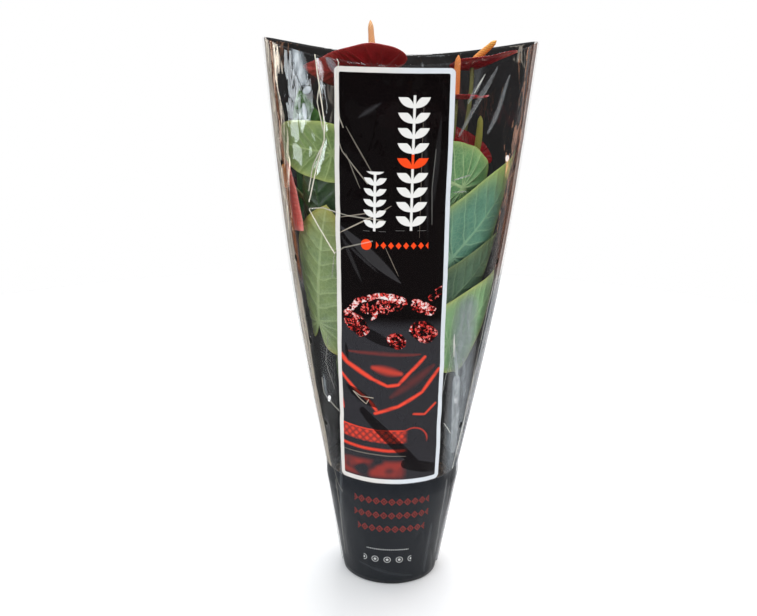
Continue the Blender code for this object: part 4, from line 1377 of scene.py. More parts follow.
@dataclass
class FilmSheet:
    """One film sheet of the sleeve, from side seam to side seam."""

    form: SleeveForm
    side: Side
    finish: FilmFinish
    columns: int = 172
    fin_columns: int = 2
    pot_rows: int = 22
    free_rows: int = 150
    thickness: float = 0.00012
    crumple: float = 0.0022
    press: float = 0.0015
    press_spread: float = 0.0045
    vent_heights: tuple[float, ...] = (0.152, 0.227, 0.300, 0.380)
    vent_radius: float = 0.003
    vent_from_seam: float = 0.032

    @property
    def name(self) -> str:
        """The piece's and the node's name."""
        return f"sleeve_{self.side.name.lower()}_sheet"

    def layout(self) -> tuple[Array, Array, Array]:
        """Lays out the sheet's grid.

        Returns:
            Azimuths and heights of the grid, and how many columns each point lies out in the fin.
        """
        form = self.form
        places = np.arange(-self.fin_columns, self.columns + self.fin_columns + 1)
        share = np.clip(places / self.columns, 0, 1)
        azimuth = self.side.value * 180 * (1 - share)
        fin = np.arange(1, self.fin_columns + 1)
        over = np.concatenate([-fin[::-1], np.zeros(self.columns + 1), fin])
        cone = np.linspace(form.foot, form.band_foot, self.pot_rows)
        free = np.linspace(0, 1, self.free_rows)
        mouth = form.mouth(azimuth)
        above = form.pot_height + free[:, None] * (mouth - form.pot_height)
        height = np.concatenate([np.repeat(cone[:, None], len(azimuth), axis=1), above])
        return np.broadcast_to(azimuth, height.shape), height, np.broadcast_to(over, height.shape)

    def pressed(self, x: Array, z: Array) -> Array:
        """Reads the pressed creases at places on the flat sheet.

        Args:
            x: distances from the sheet's middle line.
            z: heights.

        Returns:
            How far the film is pushed in.
        """
        push = np.zeros_like(x)
        for fold in self.finish.creases:
            start, end = MM * np.array(fold.start), MM * np.array(fold.end)
            way = end - start
            share = np.clip(((x - start[0]) * way[0] + (z - start[1]) * way[1]) / (way @ way), 0, 1)
            away = np.hypot(x - start[0] - share * way[0], z - start[1] - share * way[1])
            push = np.maximum(push, self.press * fold.strength * np.exp(-away / self.press_spread))
        return push

    def build(self) -> bpy.types.Object:
        """Builds the sheet with its pressed creases, crumples, vents and seams.

        Returns:
            The finished piece.
        """
        form, sign = self.form, self.side.value
        azimuth, height, over = self.layout()
        outer = form.point(azimuth, height, -form.film)
        steps = np.linalg.norm(np.diff(outer, axis=1), axis=2)
        travel = np.concatenate([np.zeros((len(outer), 1)), np.cumsum(steps, axis=1)], axis=1)
        x = travel - travel[:, -1:] / 2
        from_seam = np.minimum(travel, travel[:, -1:] - travel)
        if self.side is Side.BACK:
            x = -x

        free = fade(height, form.pot_height + 0.004, form.pot_height + 0.060)
        held = fade(from_seam, 0.002, 0.016)
        push = self.pressed(x, height)
        spots = np.stack([x, height, np.full_like(x, sign * 0.7)], axis=-1)
        broad = np.abs(noise_at(spots, (24, 9, 1), 1 + sign)) - 0.22
        medium = np.abs(noise_at(spots, (52, 22, 1), 4 + sign)) - 0.22
        small = np.abs(noise_at(spots, (120, 60, 1), 8 + sign)) - 0.22
        crumple = self.crumple * (1.1 * broad + 0.55 * medium + 0.22 * small)
        snug = 0.00035 * noise_at(spots, (60, 45, 1), 12 + sign)
        inward = held * (free * (crumple + push) + (1 - free) * (np.minimum(push, 0.0003) + snug - 0.0002))
        points = form.point(azimuth, height, inward - form.film)

        at_seam = from_seam < 1e-6
        points[..., 1] = np.where(at_seam, sign * (0.00015 + form.film), points[..., 1])
        fin = form.seam_width / self.fin_columns
        side_sign = np.where(np.cos(np.radians(azimuth)) > 0, 1.0, -1.0)
        points[..., 0] += side_sign * np.abs(over) * fin
        from_seam = np.where(at_seam, 0.0, from_seam + form.seam_width)
        from_seam = np.where(np.abs(over) > 0, form.seam_width - np.abs(over) * fin, from_seam)
        from_seam = np.where(at_seam & (over == 0), form.seam_width, from_seam)

        rows, columns = x.shape
        faces = grid_faces(rows, columns)
        if self.side is Side.BACK:
            faces = [tuple(reversed(face)) for face in faces]
        points, faces = self.punch_vents(points.reshape(-1, 3), faces)
        piece = add_piece(self.name, points, faces, [self.finish.make()])
        add_map(piece, "sheet", np.stack([0.5 + x / SHEET_SPAN, height / SHEET_SPAN], axis=-1))
        add_values(piece, "from_seam", from_seam)
        self.drop_loose(piece)
        solid = piece.modifiers.new("film", "SOLIDIFY")
        solid.thickness = self.thickness
        solid.offset = -1.0
        solid.use_rim = True
        settle(piece, f"film_{self.side.name.lower()}", self.name)
        return piece

    def punch_vents(self, points: Array, faces: Faces) -> tuple[Array, Faces]:
        """Opens the round vents and draws the film's points onto their edges.

        Args:
            points: the sheet's points.
            faces: its quads.

        Returns:
            The points with the vents' edges round, and the faces without the vents.
        """
        corners = np.array(faces)
        middles = points[corners].mean(axis=1)
        keep = np.ones(len(faces), bool)
        for height in self.vent_heights:
            _, half_depth, _ = self.form.section(height)
            step = math.degrees(self.vent_from_seam / float(half_depth))
            for azimuth in (self.side.value * step, self.side.value * (180 - step)):
                centre = self.form.point(azimuth, height, -self.form.film)
                inside = np.linalg.norm(middles - centre, axis=1) < self.vent_radius
                edge = np.intersect1d(corners[inside], corners[~inside & keep])
                away = points[edge] - centre
                reach = np.linalg.norm(away, axis=1, keepdims=True)
                points[edge] = centre + away / reach * self.vent_radius
                keep &= ~inside
        return points, [face for face, kept in zip(faces, keep, strict=True) if kept]

    def drop_loose(self, piece: bpy.types.Object) -> None:
        """Removes the points that no face uses."""
        work = bmesh.new()
        work.from_mesh(piece.data)
        loose = [point for point in work.verts if not point.link_faces]
        bmesh.ops.delete(work, geom=loose, context="VERTS")
        work.to_mesh(piece.data)
        work.free()


# ------------------------------------------------------------------ blades and stalks

LEAF_OUTLINE = (
    (0, 1.00), (14, 0.80), (35, 0.58), (60, 0.46), (85, 0.41),
    (110, 0.41), (135, 0.43), (160, 0.33), (180, 0.05),
)
SPATHE_OUTLINE = (
    (0, 1.00), (15, 0.87), (35, 0.77), (62, 0.69), (90, 0.64),
    (118, 0.61), (143, 0.56), (165, 0.34), (180, 0.12),
)


@dataclass(frozen=True)
class Blade:
    """A heart-shaped blade, made of spokes that run from the stalk's end to the margin."""

    outline: tuple[tuple[float, float], ...]
    place: Place
    thickness: float
    lobes: float = 1.0
    waves: float = 0.0
    pillow: float = 0.0
    rib: float = 0.0
    seed: float = 0.0
    spokes: int = 132
    rings: int = 22

    def reach_at(self, turn: Array) -> Array:
        """Distance from the stalk to the margin, by the angle from the tip in degrees."""
        back = np.clip((np.abs(turn) - 100) / 80, 0, 1)
        return smooth_curve(self.outline, np.abs(turn)) * (1 - (1 - self.lobes) * np.sqrt(back))

    def build(self, name: str, front: bpy.types.Material, back: bpy.types.Material) -> bpy.types.Object:
        """Builds the blade as one closed skin.

        Args:
            name: the piece's name.
            front: material of the side with face 0.
            back: material of the side with face 1.

        Returns:
            The finished piece.
        """
        spread = np.linspace(-1, 1, self.spokes, endpoint=False)
        turn = 180 * np.sign(spread) * np.abs(spread) ** 1.4
        ring = (np.arange(1, self.rings + 1) / self.rings) ** 0.9
        reach = self.reach_at(turn) * (1 + 0.012 * np.sin(np.radians(turn) * 9 + self.seed))
        out = ring[:, None] * reach
        across = out * np.sin(np.radians(turn))
        along = out * np.cos(np.radians(turn))
        ring = np.broadcast_to(ring[:, None], out.shape)

        count = vein_phase(across, along)
        puff = 0.5 - 0.5 * np.cos(2 * math.pi * count)
        puff = puff * np.clip(np.abs(across) / 0.08, 0, 1) * (1 - ring**5)
        sway = 0.5 + 0.5 * np.sin(np.radians(np.abs(turn)) * 3.4 + self.seed * 2 + np.sign(turn) * 0.8)
        lift = self.waves * ring**2.5 * sway + self.pillow * puff
        ridge = self.rib * np.exp(-((across / 0.014) ** 2)) * fade(along, -0.02, 0.03) * (1.05 - along)

        layers = []
        for face in (0, 1):
            skin = self.thickness * (1 - 0.6 * ring**8) * (0.0 if face == 0 else 1.0)
            inner = self.place(np.zeros(1), np.zeros(1), np.array([self.thickness * face]))
            rest = self.place(across, along, lift + skin - (ridge if face == 0 else 0.0))
            layers.append(np.concatenate([inner.reshape(-1, 3), rest.reshape(-1, 3)]))
        size = len(layers[0])
        faces = []
        for index in range(self.spokes):
            after = (index + 1) % self.spokes
            faces.append((0, 1 + index, 1 + after))
        faces += [(c, b, a, d) for a, b, c, d in grid_faces(self.rings, self.spokes, True, 1)]
        front_faces = len(faces)
        faces += [tuple(size + corner for corner in reversed(face)) for face in list(faces)]
        edge = size - self.spokes
        for index in range(self.spokes):
            after = (index + 1) % self.spokes
            faces.append((edge + index, size + edge + index, size + edge + after, edge + after))
        piece = add_piece(name, np.concatenate(layers), faces, [front, back])
        slots = np.zeros(len(faces), np.int32)
        slots[front_faces:] = 1
        piece.data.polygons.foreach_set("material_index", slots)
        flat = np.stack([0.5 + across / 2, 0.5 + along / 2], axis=-1).reshape(-1, 2)
        flat = np.concatenate([[(0.5, 0.5)], flat])
        add_map(piece, "blade", np.concatenate([flat, flat]))
        rim = np.concatenate([[0.0], ring.ravel()])
        add_values(piece, "rim", np.concatenate([rim, rim]))
        return piece


def turn_outward(piece: bpy.types.Object) -> None:
    """Turns a closed piece's faces outward if they look in."""
    work = bmesh.new()
    work.from_mesh(piece.data)
    bmesh.ops.recalc_face_normals(work, faces=work.faces)
    if work.calc_volume(signed=True) < 0:
        bmesh.ops.reverse_faces(work, faces=work.faces)
    work.to_mesh(piece.data)
    work.free()


@dataclass(frozen=True)
class Stalk:
    """A round stalk on one smooth curve, with a swollen joint near its end."""

    start: Vector
    lean: Vector
    end: Vector
    arrive: Vector
    radius: float
    joint: float = 0.0
    seed: float = 0.0
    segments: int = 44
    sides: int = 16

    def build(self, name: str, finish: StalkFinish) -> bpy.types.Object:
        """Builds the stalk.

        Args:
            name: the piece's name.
            finish: its skin.

        Returns:
            The finished piece.
        """
        start, end = np.array(self.start), np.array(self.end)
        first, second = start + np.array(self.lean), end - np.array(self.arrive)
        share = np.linspace(0, 1, self.segments + 1)[:, None]
        rest = 1 - share
        centre = rest**3 * start + 3 * rest**2 * share * first + 3 * rest * share**2 * second + share**3 * end
        along = rest**2 * (first - start) + 2 * rest * share * (second - first) + share**2 * (end - second)
        along /= np.linalg.norm(along, axis=1, keepdims=True)
        along[0] = (0, 0, 1)
        side = np.cross(along, (0, 0, 1))
        fallback = np.array((self.lean.y, -self.lean.x, 0.0))
        reach = np.linalg.norm(fallback)
        fallback = fallback / reach if reach > 1e-9 else (1, 0, 0)
        long_enough = np.linalg.norm(side, axis=1, keepdims=True) > 1e-4
        side = np.where(long_enough, side, fallback)
        side /= np.linalg.norm(side, axis=1, keepdims=True)
        other = np.cross(side, along)
        length = float(np.linalg.norm(np.diff(centre, axis=0), axis=1).sum())
        to_end = (1 - share) * length
        swell = self.joint * np.exp(-(((to_end - 0.009) / 0.0055) ** 2))
        thick = self.radius * (1.15 - 0.30 * share + swell + 0.02 * np.sin(share * 23 + self.seed))
        angle = np.linspace(0, 2 * math.pi, self.sides, endpoint=False)
        groove = 1 - 0.10 * np.exp(-((np.abs(angle - math.pi) / 0.45) ** 2))
        round_way = side[:, None] * np.cos(angle)[:, None] + other[:, None] * np.sin(angle)[:, None]
        rings = centre[:, None] + (thick * groove)[:, :, None] * round_way
        cap = centre[-1] + (rings[-1] - centre[-1]) * 0.62 + along[-1] * thick[-1] * 0.22
        rings = np.concatenate([rings, cap[None]])
        faces = grid_faces(len(rings), self.sides, closed=True)
        faces.append(tuple(reversed(range(self.sides))))
        top = (len(rings) - 1) * self.sides
        faces.append(tuple(top + index for index in range(self.sides)))
        piece = add_piece(name, rings, faces, [finish.make()])
        turn_outward(piece)
        return piece


# ------------------------------------------------------------------ pot and growing medium


@dataclass
class Pot:
    """The thin-walled nursery pot, with a stepped rim band and drain holes."""

    form: SleeveForm
    wall: float = 0.0010
    foot_width: float = 0.005
    foot_height: float = 0.003
    drain_holes: int = 8
    drain_radius: float = 0.0035
    drain_ring: float = 0.025
    segments: int = 144

    def wall_at(self, height: float) -> float:
        """Outer radius of the wall."""
        form = self.form
        top = form.rim_radius - form.rim_step
        return form.base_radius + (top - form.base_radius) * height / form.pot_height

    def profile(self) -> Array:
        """Outline of half the pot, with its edges rounded.

        Returns:
            (radius, height) pairs from the axis, out, up, and back down inside.
        """
        form = self.form
        band = form.pot_height - form.rim_depth
        floor = self.foot_height + self.wall
        rim, base = form.rim_radius, form.base_radius
        soft = 0.0004
        outside = [
            (0, self.foot_height),
            (base - self.foot_width - soft, self.foot_height),
            (base - self.foot_width, self.foot_height - soft),
            (base - self.foot_width, soft),
            (base - self.foot_width + soft, 0),
            (base - soft, 0),
            (base, soft),
        ]
        levels = np.linspace(0.012, form.band_foot - 0.002, 12)
        outside += [(self.wall_at(level) + 0.00012 * (level > 0.02), level) for level in levels]
        top = [
            (self.wall_at(form.band_foot), form.band_foot),
            (rim - soft, band),
            (rim, band + soft),
            (rim, form.pot_height - soft),
            (rim - soft, form.pot_height),
            (rim - self.wall + soft / 2, form.pot_height),
            (rim - self.wall, form.pot_height - soft),
            (rim - self.wall, band + self.wall),
            (self.wall_at(band) - self.wall, band + self.wall - form.rim_step / 2),
            (self.wall_at(floor) - self.wall, floor + soft),
            (self.wall_at(floor) - self.wall - soft, floor),
            (0, floor),
        ]
        return np.array(outside + top)

    def build(self) -> bpy.types.Object:
        """Builds the pot.

        Returns:
            The finished piece.
        """
        pot = add_piece("nursery_pot_shell", *turned(self.profile(), self.segments), [PotFinish().make()])
        turn_outward(pot)
        rods = []
        rod = np.array([(0, -0.006), (self.drain_radius, -0.006), (self.drain_radius, 0.012), (0, 0.012)])
        for index in range(self.drain_holes):
            angle = 2 * math.pi * (index + 0.5) / self.drain_holes
            points, faces = turned(rod, 24)
            middle = np.array((math.cos(angle), math.sin(angle), 0.0)) * self.drain_ring
            rods.append((points + middle, faces))
        drill = add_piece("drain_drill", *join_shells(rods), [])
        turn_outward(drill)
        cut = pot.modifiers.new("drain", "BOOLEAN")
        cut.operation = "DIFFERENCE"
        cut.solver = "MANIFOLD"
        cut.object = drill
        bpy.context.view_layer.update()
        depsgraph = bpy.context.evaluated_depsgraph_get()
        bored = bpy.data.meshes.new_from_object(pot.evaluated_get(depsgraph), depsgraph=depsgraph)
        pot.modifiers.clear()
        pot.data = bored
        bpy.data.objects.remove(drill, do_unlink=True)
        pot.data.shade_smooth()
        pot.data.set_sharp_from_angle(angle=math.radians(40))
        settle(pot, "pot_plastic", "nursery_pot")
        return pot


@dataclass
class Planting:
    """The growing medium and the short stem that stands in it."""

    form: SleeveForm
    below_rim: float = 0.0115
    mound: float = 0.002
    stem_radius: float = 0.0150
    stem_above: float = 0.012
    wall: float = 0.0010
    floor: float = 0.004
    gap: float = 0.0003
    crumbs: int = 420
    seed: int = 41

    @property
    def top(self) -> float:
        """Height of the growing medium's surface."""
        return self.form.pot_height - self.below_rim

    def wall_at(self, height: float) -> float:
        """Radius of the pot's inside."""
        form = self.form
        top = form.rim_radius - form.rim_step
        return form.base_radius + (top - form.base_radius) * height / form.pot_height - self.wall

    def build_soil(self) -> bpy.types.Object:
        """Builds the body of the growing medium with a lumpy surface.

        Returns:
            The finished piece.
        """
        edge = self.wall_at(self.top) - 2 * self.gap
        foot = self.wall_at(self.floor) - 2 * self.gap
        surface = [
            (edge * share, self.top + self.mound * (1 - share**2) - self.mound * share**12)
            for share in np.linspace(1, 0.02, 46)
        ]
        profile = [(0, self.floor + self.gap), (foot, self.floor + self.gap)]
        climb = self.top - self.mound - self.floor
        profile += [(foot + (edge - foot) * share, self.floor + climb * share) for share in (0.3, 0.65)]
        profile += surface + [(0, self.top + self.mound)]
        points, faces = turned(np.array(profile), 120)
        upper = fade(points[:, 2], self.top - 0.006, self.top - 0.002)
        lumps = 0.0012 * noise_at(points, (260, 260, 260), 3) + 0.0016 * noise_at(points, (110, 110, 110), 5)
        near_wall = fade(edge - np.hypot(points[:, 0], points[:, 1]), 0.0, 0.003)
        points[:, 2] += upper * near_wall * (lumps - 0.0004)
        soil = add_piece("soil_body", points, faces, [SOIL.make()])
        turn_outward(soil)
        settle(soil, "growing_medium", "growing_medium")
        return soil

    def build_crumbs(self) -> bpy.types.Object:
        """Scatters coir chips, fibres and crumbs over the surface.

        Returns:
            The finished piece, many small closed bodies in one mesh.
        """
        draw = np.random.default_rng(self.seed)
        edge = self.wall_at(self.top) - 0.003
        shells = []
        ball = np.array([(0, -1), (0.75, -0.66), (1.0, 0.0), (0.75, 0.66), (0, 1)])
        for index in range(self.crumbs):
            radius = math.sqrt(draw.uniform((self.stem_radius / edge) ** 2 * 1.15, 1)) * edge
            angle = draw.uniform(0, 2 * math.pi)
            is_fibre = index % 6 == 0
            size = np.array(draw.uniform(0.0006, 0.0021, 3))
            if is_fibre:
                size = np.array((draw.uniform(0.004, 0.009), 0.00022, 0.00022))
            points, faces = turned(ball, 7)
            points = points * (1 + 0.25 * draw.uniform(-1, 1, points.shape))
            points = points[:, [2, 0, 1]] * size
            if is_fibre:
                points[:, 1] += 0.0012 * (points[:, 0] / size[0]) ** 2
            about = Matrix.Rotation(draw.uniform(0, 6.28), 3, "Z")
            spin = about @ Matrix.Rotation(draw.uniform(-0.3, 0.3), 3, "Y")
            points = points @ np.array(spin).T
            level = self.top + self.mound * (1 - (radius / edge) ** 2) + draw.uniform(-0.0004, 0.0009)
            points += (radius * math.cos(angle), radius * math.sin(angle), level)
            shells.append((points, faces))
        chips = add_piece("soil_crumbs", *join_shells(shells), [CHIPS.make()])
        turn_outward(chips)
        settle(chips, "growing_medium", "growing_medium")
        return chips

    def build_crown(self) -> bpy.types.Object:
        """Builds the short ringed stem, with leaf scars and papery sheaths round it.

        Returns:
            The finished piece.
        """
        foot = self.top - 0.016
        head = self.top + self.stem_above
        rise = np.linspace(0, 1, 30)
        width = smooth_curve([(0, 0.70), (0.20, 1.0), (0.72, 1.0), (0.90, 0.97), (1.0, 0.90)], rise)
        rings = 1 - 0.035 * np.abs(np.sin(rise * math.pi * 6)) ** 3
        radii = self.stem_radius * width * rings
        levels = foot + (head - foot) * rise
        profile = [(0, foot), *zip(radii, levels)]
        points, faces = turned(np.array(profile + [(0, head)]), 72)
        swell = 1 - 0.05 * np.abs(noise_at(points, (150, 150, 90), 9))
        points[:, :2] *= swell[:, None]
        shells = [(points, faces)]
        for index in range(7):
            shells.append(self.sheath(360 / 7 * index + 11 * (index % 2), 0.013 + 0.004 * (index % 3)))
        crown = add_piece("stem_crown", *join_shells(shells), [CROWN.make()])
        turn_outward(crown)
        settle(crown, "crown", "plant_crown")
        return crown

    def sheath(self, azimuth: float, length: float) -> tuple[Array, Faces]:
        """One dry pointed sheath that stands against the stem.

        Args:
            azimuth: where it stands, in degrees.
            length: its height.

        Returns:
            The points and faces of a thin closed shell.
        """
        across = np.linspace(-1, 1, 9)
        up = np.linspace(0, 1, 12)[:, None]
        half = 20 * np.sqrt(np.clip(1 - up**1.6, 0.0, 1)) + 0.6
        angle = np.radians(azimuth + across * half)
        layers = []
        for skin in (0.0, 0.0003):
            radius = self.stem_radius * (1.03 + 0.10 * up**2) + skin + 0.0003 * np.sin(up * 14 + across * 3)
            z = np.broadcast_to(self.top + 0.0005 + length * up, angle.shape)
            layer = np.stack([radius * np.cos(angle), radius * np.sin(angle), z], axis=-1)
            layers.append(layer.reshape(-1, 3))
        rows, columns = angle.shape
        size = rows * columns
        faces = grid_faces(rows, columns)
        faces += [tuple(size + corner for corner in reversed(face)) for face in list(faces)]
        rim = list(range(columns))
        rim += [row * columns + columns - 1 for row in range(1, rows)]
        rim += [(rows - 1) * columns + column for column in range(columns - 2, -1, -1)]
        rim += [row * columns for row in range(rows - 2, 0, -1)]
        for here, after in zip(rim, rim[1:] + rim[:1], strict=True):
            faces.append((after, here, size + here, size + after))
        return np.concatenate(layers), faces


# ------------------------------------------------------------------ the plant


@dataclass(frozen=True)
class LeafSpec:
    """Where a leaf lies against the film, and how it looks.

    Heading is the tip's angle from upright, positive towards rising azimuth. Lobes
    is how far the lobes reach back. Depths are at the stalk and at the tip.
    """

    azimuth: float
    height: float
    heading: float
    reach: float
    breadth: float
    lobes: float
    depth: float
    tip_depth: float
    root: float
    tone: LeafTone


LEAVES = (
    LeafSpec(-150, 0.244, 12, 0.108, 1.15, 0.45, 0.0085, 0.0080, -178, LeafTone.OLIVE),
    LeafSpec(-123, 0.394, -88, 0.108, 0.54, 0.80, 0.0060, 0.0060, -109, LeafTone.PALE),
    LeafSpec(-134, 0.300, -6, 0.094, 0.85, 1.00, 0.0120, 0.0120, -155, LeafTone.DEEP),
    LeafSpec(-104, 0.262, -20, 0.080, 0.62, 1.00, 0.0215, 0.0215, -87, LeafTone.OLIVE),
    LeafSpec(-114, 0.206, 10, 0.090, 0.90, 1.00, 0.0155, 0.0175, -132, LeafTone.DEEP),
    LeafSpec(-56, 0.308, 42, 0.112, 0.80, 0.90, 0.0130, 0.0040, -21, LeafTone.TEAL),
    LeafSpec(-52, 0.366, -66, 0.072, 1.14, 1.00, 0.0170, 0.0170, 1, LeafTone.SAGE),
    LeafSpec(-54, 0.234, 55, 0.092, 0.90, 0.50, 0.0050, 0.0040, -43, LeafTone.MINT),
    LeafSpec(-68, 0.256, 48, 0.098, 0.70, 0.60, 0.0090, 0.0080, -65, LeafTone.SHADED),
    LeafSpec(62, 0.286, 6, 0.112, 0.95, 1.00, 0.0050, 0.0040, 60, LeafTone.DEEP),
    LeafSpec(104, 0.250, -8, 0.112, 0.95, 1.00, 0.0100, 0.0100, 100, LeafTone.DEEP),
    LeafSpec(148, 0.330, 4, 0.108, 0.85, 0.90, 0.0140, 0.0120, 145, LeafTone.DEEP),
)


@dataclass(frozen=True)
class FlowerSpec:
    """Where a flower stands and how it is turned.

    Share is how far out its base is towards the film. Tip and look are the
    directions of the spathe's tip and of its face.
    """

    azimuth: float
    share: float
    height: float
    tip: tuple[float, float, float]
    look: tuple[float, float, float]
    reach: float
    breadth: float
    rise: tuple[float, float, float]
    length: float
    root: float
    tone: SpadixTone


FLOWERS = (
    FlowerSpec(
        -150, 0.22, 0.4530, (-1.0, -0.10, -0.08), (-0.06, 0.55, 0.83), 0.058, 1.00, (-0.10, 0.05, 1.0),
        0.040, -120, SpadixTone.APRICOT,
    ),
    FlowerSpec(
        18, 0.58, 0.4580, (1.0, -0.10, 0.20), (-0.18, 0.27, 0.94), 0.040, 0.80, (0.64, -0.20, 0.60),
        0.028, 66, SpadixTone.YOLK,
    ),
    FlowerSpec(
        -40, 0.55, 0.4350, (0.80, -0.55, 0.06), (0.02, 0.05, 0.95), 0.030, 0.90, (0.02, 0.02, 1.0),
        0.033, -60, SpadixTone.ORANGE,
    ),
    FlowerSpec(
        4, 0.63, 0.3850, (-0.60, -0.20, 0.76), (0.40, -0.85, 0.36), 0.033, 0.62, (0.06, -0.10, 1.0),
        0.033, -8, SpadixTone.GREEN,
    ),
    FlowerSpec(
        80, 0.55, 0.4080, (0.10, 0.90, 0.25), (0.05, -0.40, 0.90), 0.048, 0.95, (0.0, 0.20, 1.0),
        0.034, 120, SpadixTone.ORANGE,
    ),
)


@dataclass(frozen=True)
class PressedSpec:
    """The flower pressed flat against the film, its face to the film."""

    azimuth: float = -177
    height: float = 0.356
    heading: float = 128
    reach: float = 0.050
    breadth: float = 0.78
    depth: float = 0.0085
    tip_depth: float = 0.0040
    length: float = 0.020
    root: float = 180


@dataclass
class Plant:
    """Leaves, flowers and their stalks."""

    form: SleeveForm
    top: float
    stem_above: float = 0.012
    gap: float = 0.0003
    leaf_thickness: float = 0.0006
    spathe_thickness: float = 0.0008
    petiole_radius: float = 0.0017
    peduncle_radius: float = 0.0020
    spadix_radius: float = 0.0028
    petiole_ring: float = 0.0118
    peduncle_ring: float = 0.0050
    pieces: list[bpy.types.Object] = field(default_factory=list)

    def root(self, ring: float, azimuth: float) -> Vector:
        """Where a stalk rises from the stem."""
        angle = math.radians(azimuth)
        height = self.top + self.stem_above + self.gap
        return Vector((ring * math.cos(angle), ring * math.sin(angle), height))

    def against_film(
        self, azimuth: float, height: float, heading: float, reach: float, breadth: float,
        depths: tuple[float, float],
    ) -> Place:
        """How a blade lies along the film.

        Args:
            azimuth: of the stalk's end.
            height: of the stalk's end.
            heading: of the tip, from upright.
            reach: from the stalk to the tip.
            breadth: width factor.
            depths: inside the film, at the stalk and at the tip.

        Returns:
            A function from places on the blade, and offsets into the sleeve, to points.
        """
        turn = math.radians(heading)
        around = self.form.round_reach(azimuth, height, depths[0])

        def place(across: Array, along: Array, inward: Array) -> Array:
            """Points of the blade, in the frame."""
            sideways = reach * (breadth * across * math.cos(turn) + along * math.sin(turn))
            upward = reach * (along * math.cos(turn) - breadth * across * math.sin(turn))
            depth = depths[0] + (depths[1] - depths[0]) * np.maximum(0.0, along) + inward
            return self.form.point(azimuth + np.degrees(sideways / around), height + upward, depth)

        return place

    def build_leaf(self, number: int, spec: LeafSpec) -> None:
        """Builds one leaf and its stalk.

        Args:
            number: the leaf's number.
            spec: its place and looks.
        """
        place = self.against_film(
            spec.azimuth, spec.height, spec.heading, spec.reach, spec.breadth, (spec.depth, spec.tip_depth)
        )
        blade = Blade(
            LEAF_OUTLINE, place, self.leaf_thickness, spec.lobes, waves=0.0016, pillow=0.0007,
            rib=0.0006, seed=number,
        )
        node = f"leaf_{number:02d}"
        piece = blade.build(f"leaf_blade_{number:02d}", spec.tone.value.make(), LEAF_FACE.make())
        turn_outward(piece)
        settle(piece, "leaf", node)
        inset = spec.depth + self.leaf_thickness + 2 * self.gap + self.petiole_radius
        end = Vector(self.form.point(spec.azimuth, spec.height, inset))
        root = self.root(self.petiole_ring, spec.root)
        rise = end.z - root.z
        lean = Vector((0, 0, 0.42 * rise))
        arrive = Vector((0, 0, 0.34 * rise)) + 0.16 * rise * self.form.outward(spec.azimuth, spec.height)
        stalk = Stalk(root, lean, end, arrive, self.petiole_radius, joint=0.35, seed=number)
        stem = stalk.build(f"leaf_stalk_{number:02d}", LEAF_STALK)
        settle(stem, "stalk", f"petiole_{number:02d}")
        self.pieces += [piece, stem]

    def build_spadix(self, number: int, seat: Vector, way: Vector, length: float, tone: SpadixTone) -> None:
        """Builds one spadix, covered in spiral rows of florets.

        Args:
            number: the flower's number.
            seat: middle of its foot.
            way: its direction.
            length: from foot to tip.
            tone: its colours.
        """
        rows, sides = 96, 60
        rise = np.linspace(0, 1, rows)[:, None]
        angle = np.linspace(0, 2 * math.pi, sides, endpoint=False)
        body = smooth_curve([(0, 0.80), (0.25, 1.0), (0.70, 0.88), (0.93, 0.58), (1.0, 0.12)], rise)
        along_count = length / 0.00115
        left = np.cos(angle * 8 + rise * math.pi * along_count)
        right = np.cos(angle * 5 - rise * math.pi * along_count)
        floret = 0.25 * (1 + left) * (1 + right)
        radius = self.spadix_radius * body * (0.93 + 0.12 * floret**0.7)
        bow = 0.0008 * np.sin(math.pi * rise)
        grid = np.stack(
            np.broadcast_arrays(radius * np.cos(angle) + bow, radius * np.sin(angle), rise * length), axis=-1
        ).reshape(-1, 3)
        ends = np.array([(0, 0, 0), (0, 0, length * 1.005)])
        faces = grid_faces(rows, sides, closed=True)
        last = (rows - 1) * sides
        for index in range(sides):
            after = (index + 1) % sides
            faces.append((rows * sides, after, index))
            faces.append((rows * sides + 1, last + index, last + after))
        piece = add_piece(f"flower_spadix_{number}", np.concatenate([grid, ends]), faces, [tone.value.make()])
        turn_outward(piece)
        add_values(piece, "ripeness", np.concatenate([np.broadcast_to(rise, floret.shape).ravel(), [0, 1]]))
        add_values(piece, "floret", np.concatenate([floret.ravel(), [0.5, 0.5]]))
        turn = Matrix.Translation(seat) @ way.to_track_quat("Z", "Y").to_matrix().to_4x4()
        piece.data.transform(turn)
        settle(piece, "spadix", f"spadix_{number}")
        self.pieces.append(piece)

    def build_flower(self, number: int, spec: FlowerSpec) -> None:
        """Builds one free flower: spathe, spadix and stalk.

        Args:
            number: the flower's number.
            spec: its place and looks.
        """
        film = self.form.point(spec.azimuth, spec.height, 0.0)
        base = Vector((film[0] * spec.share, film[1] * spec.share, spec.height))
        face_way = Vector(spec.look).normalized()
        tip_way = Vector(spec.tip)
        tip_way = (tip_way - tip_way.dot(face_way) * face_way).normalized()
        side_way = tip_way.cross(face_way)
        axes = np.array([side_way[:], tip_way[:], face_way[:]])

        def place(across: Array, along: Array, inward: Array) -> Array:
            """Points of the spathe, in the frame."""
            cup = 0.10 * spec.reach * (across**2 + along**2)
            flat = [spec.reach * spec.breadth * across, spec.reach * along, cup + inward]
            return np.array(base) + np.stack(np.broadcast_arrays(*flat), axis=-1) @ axes

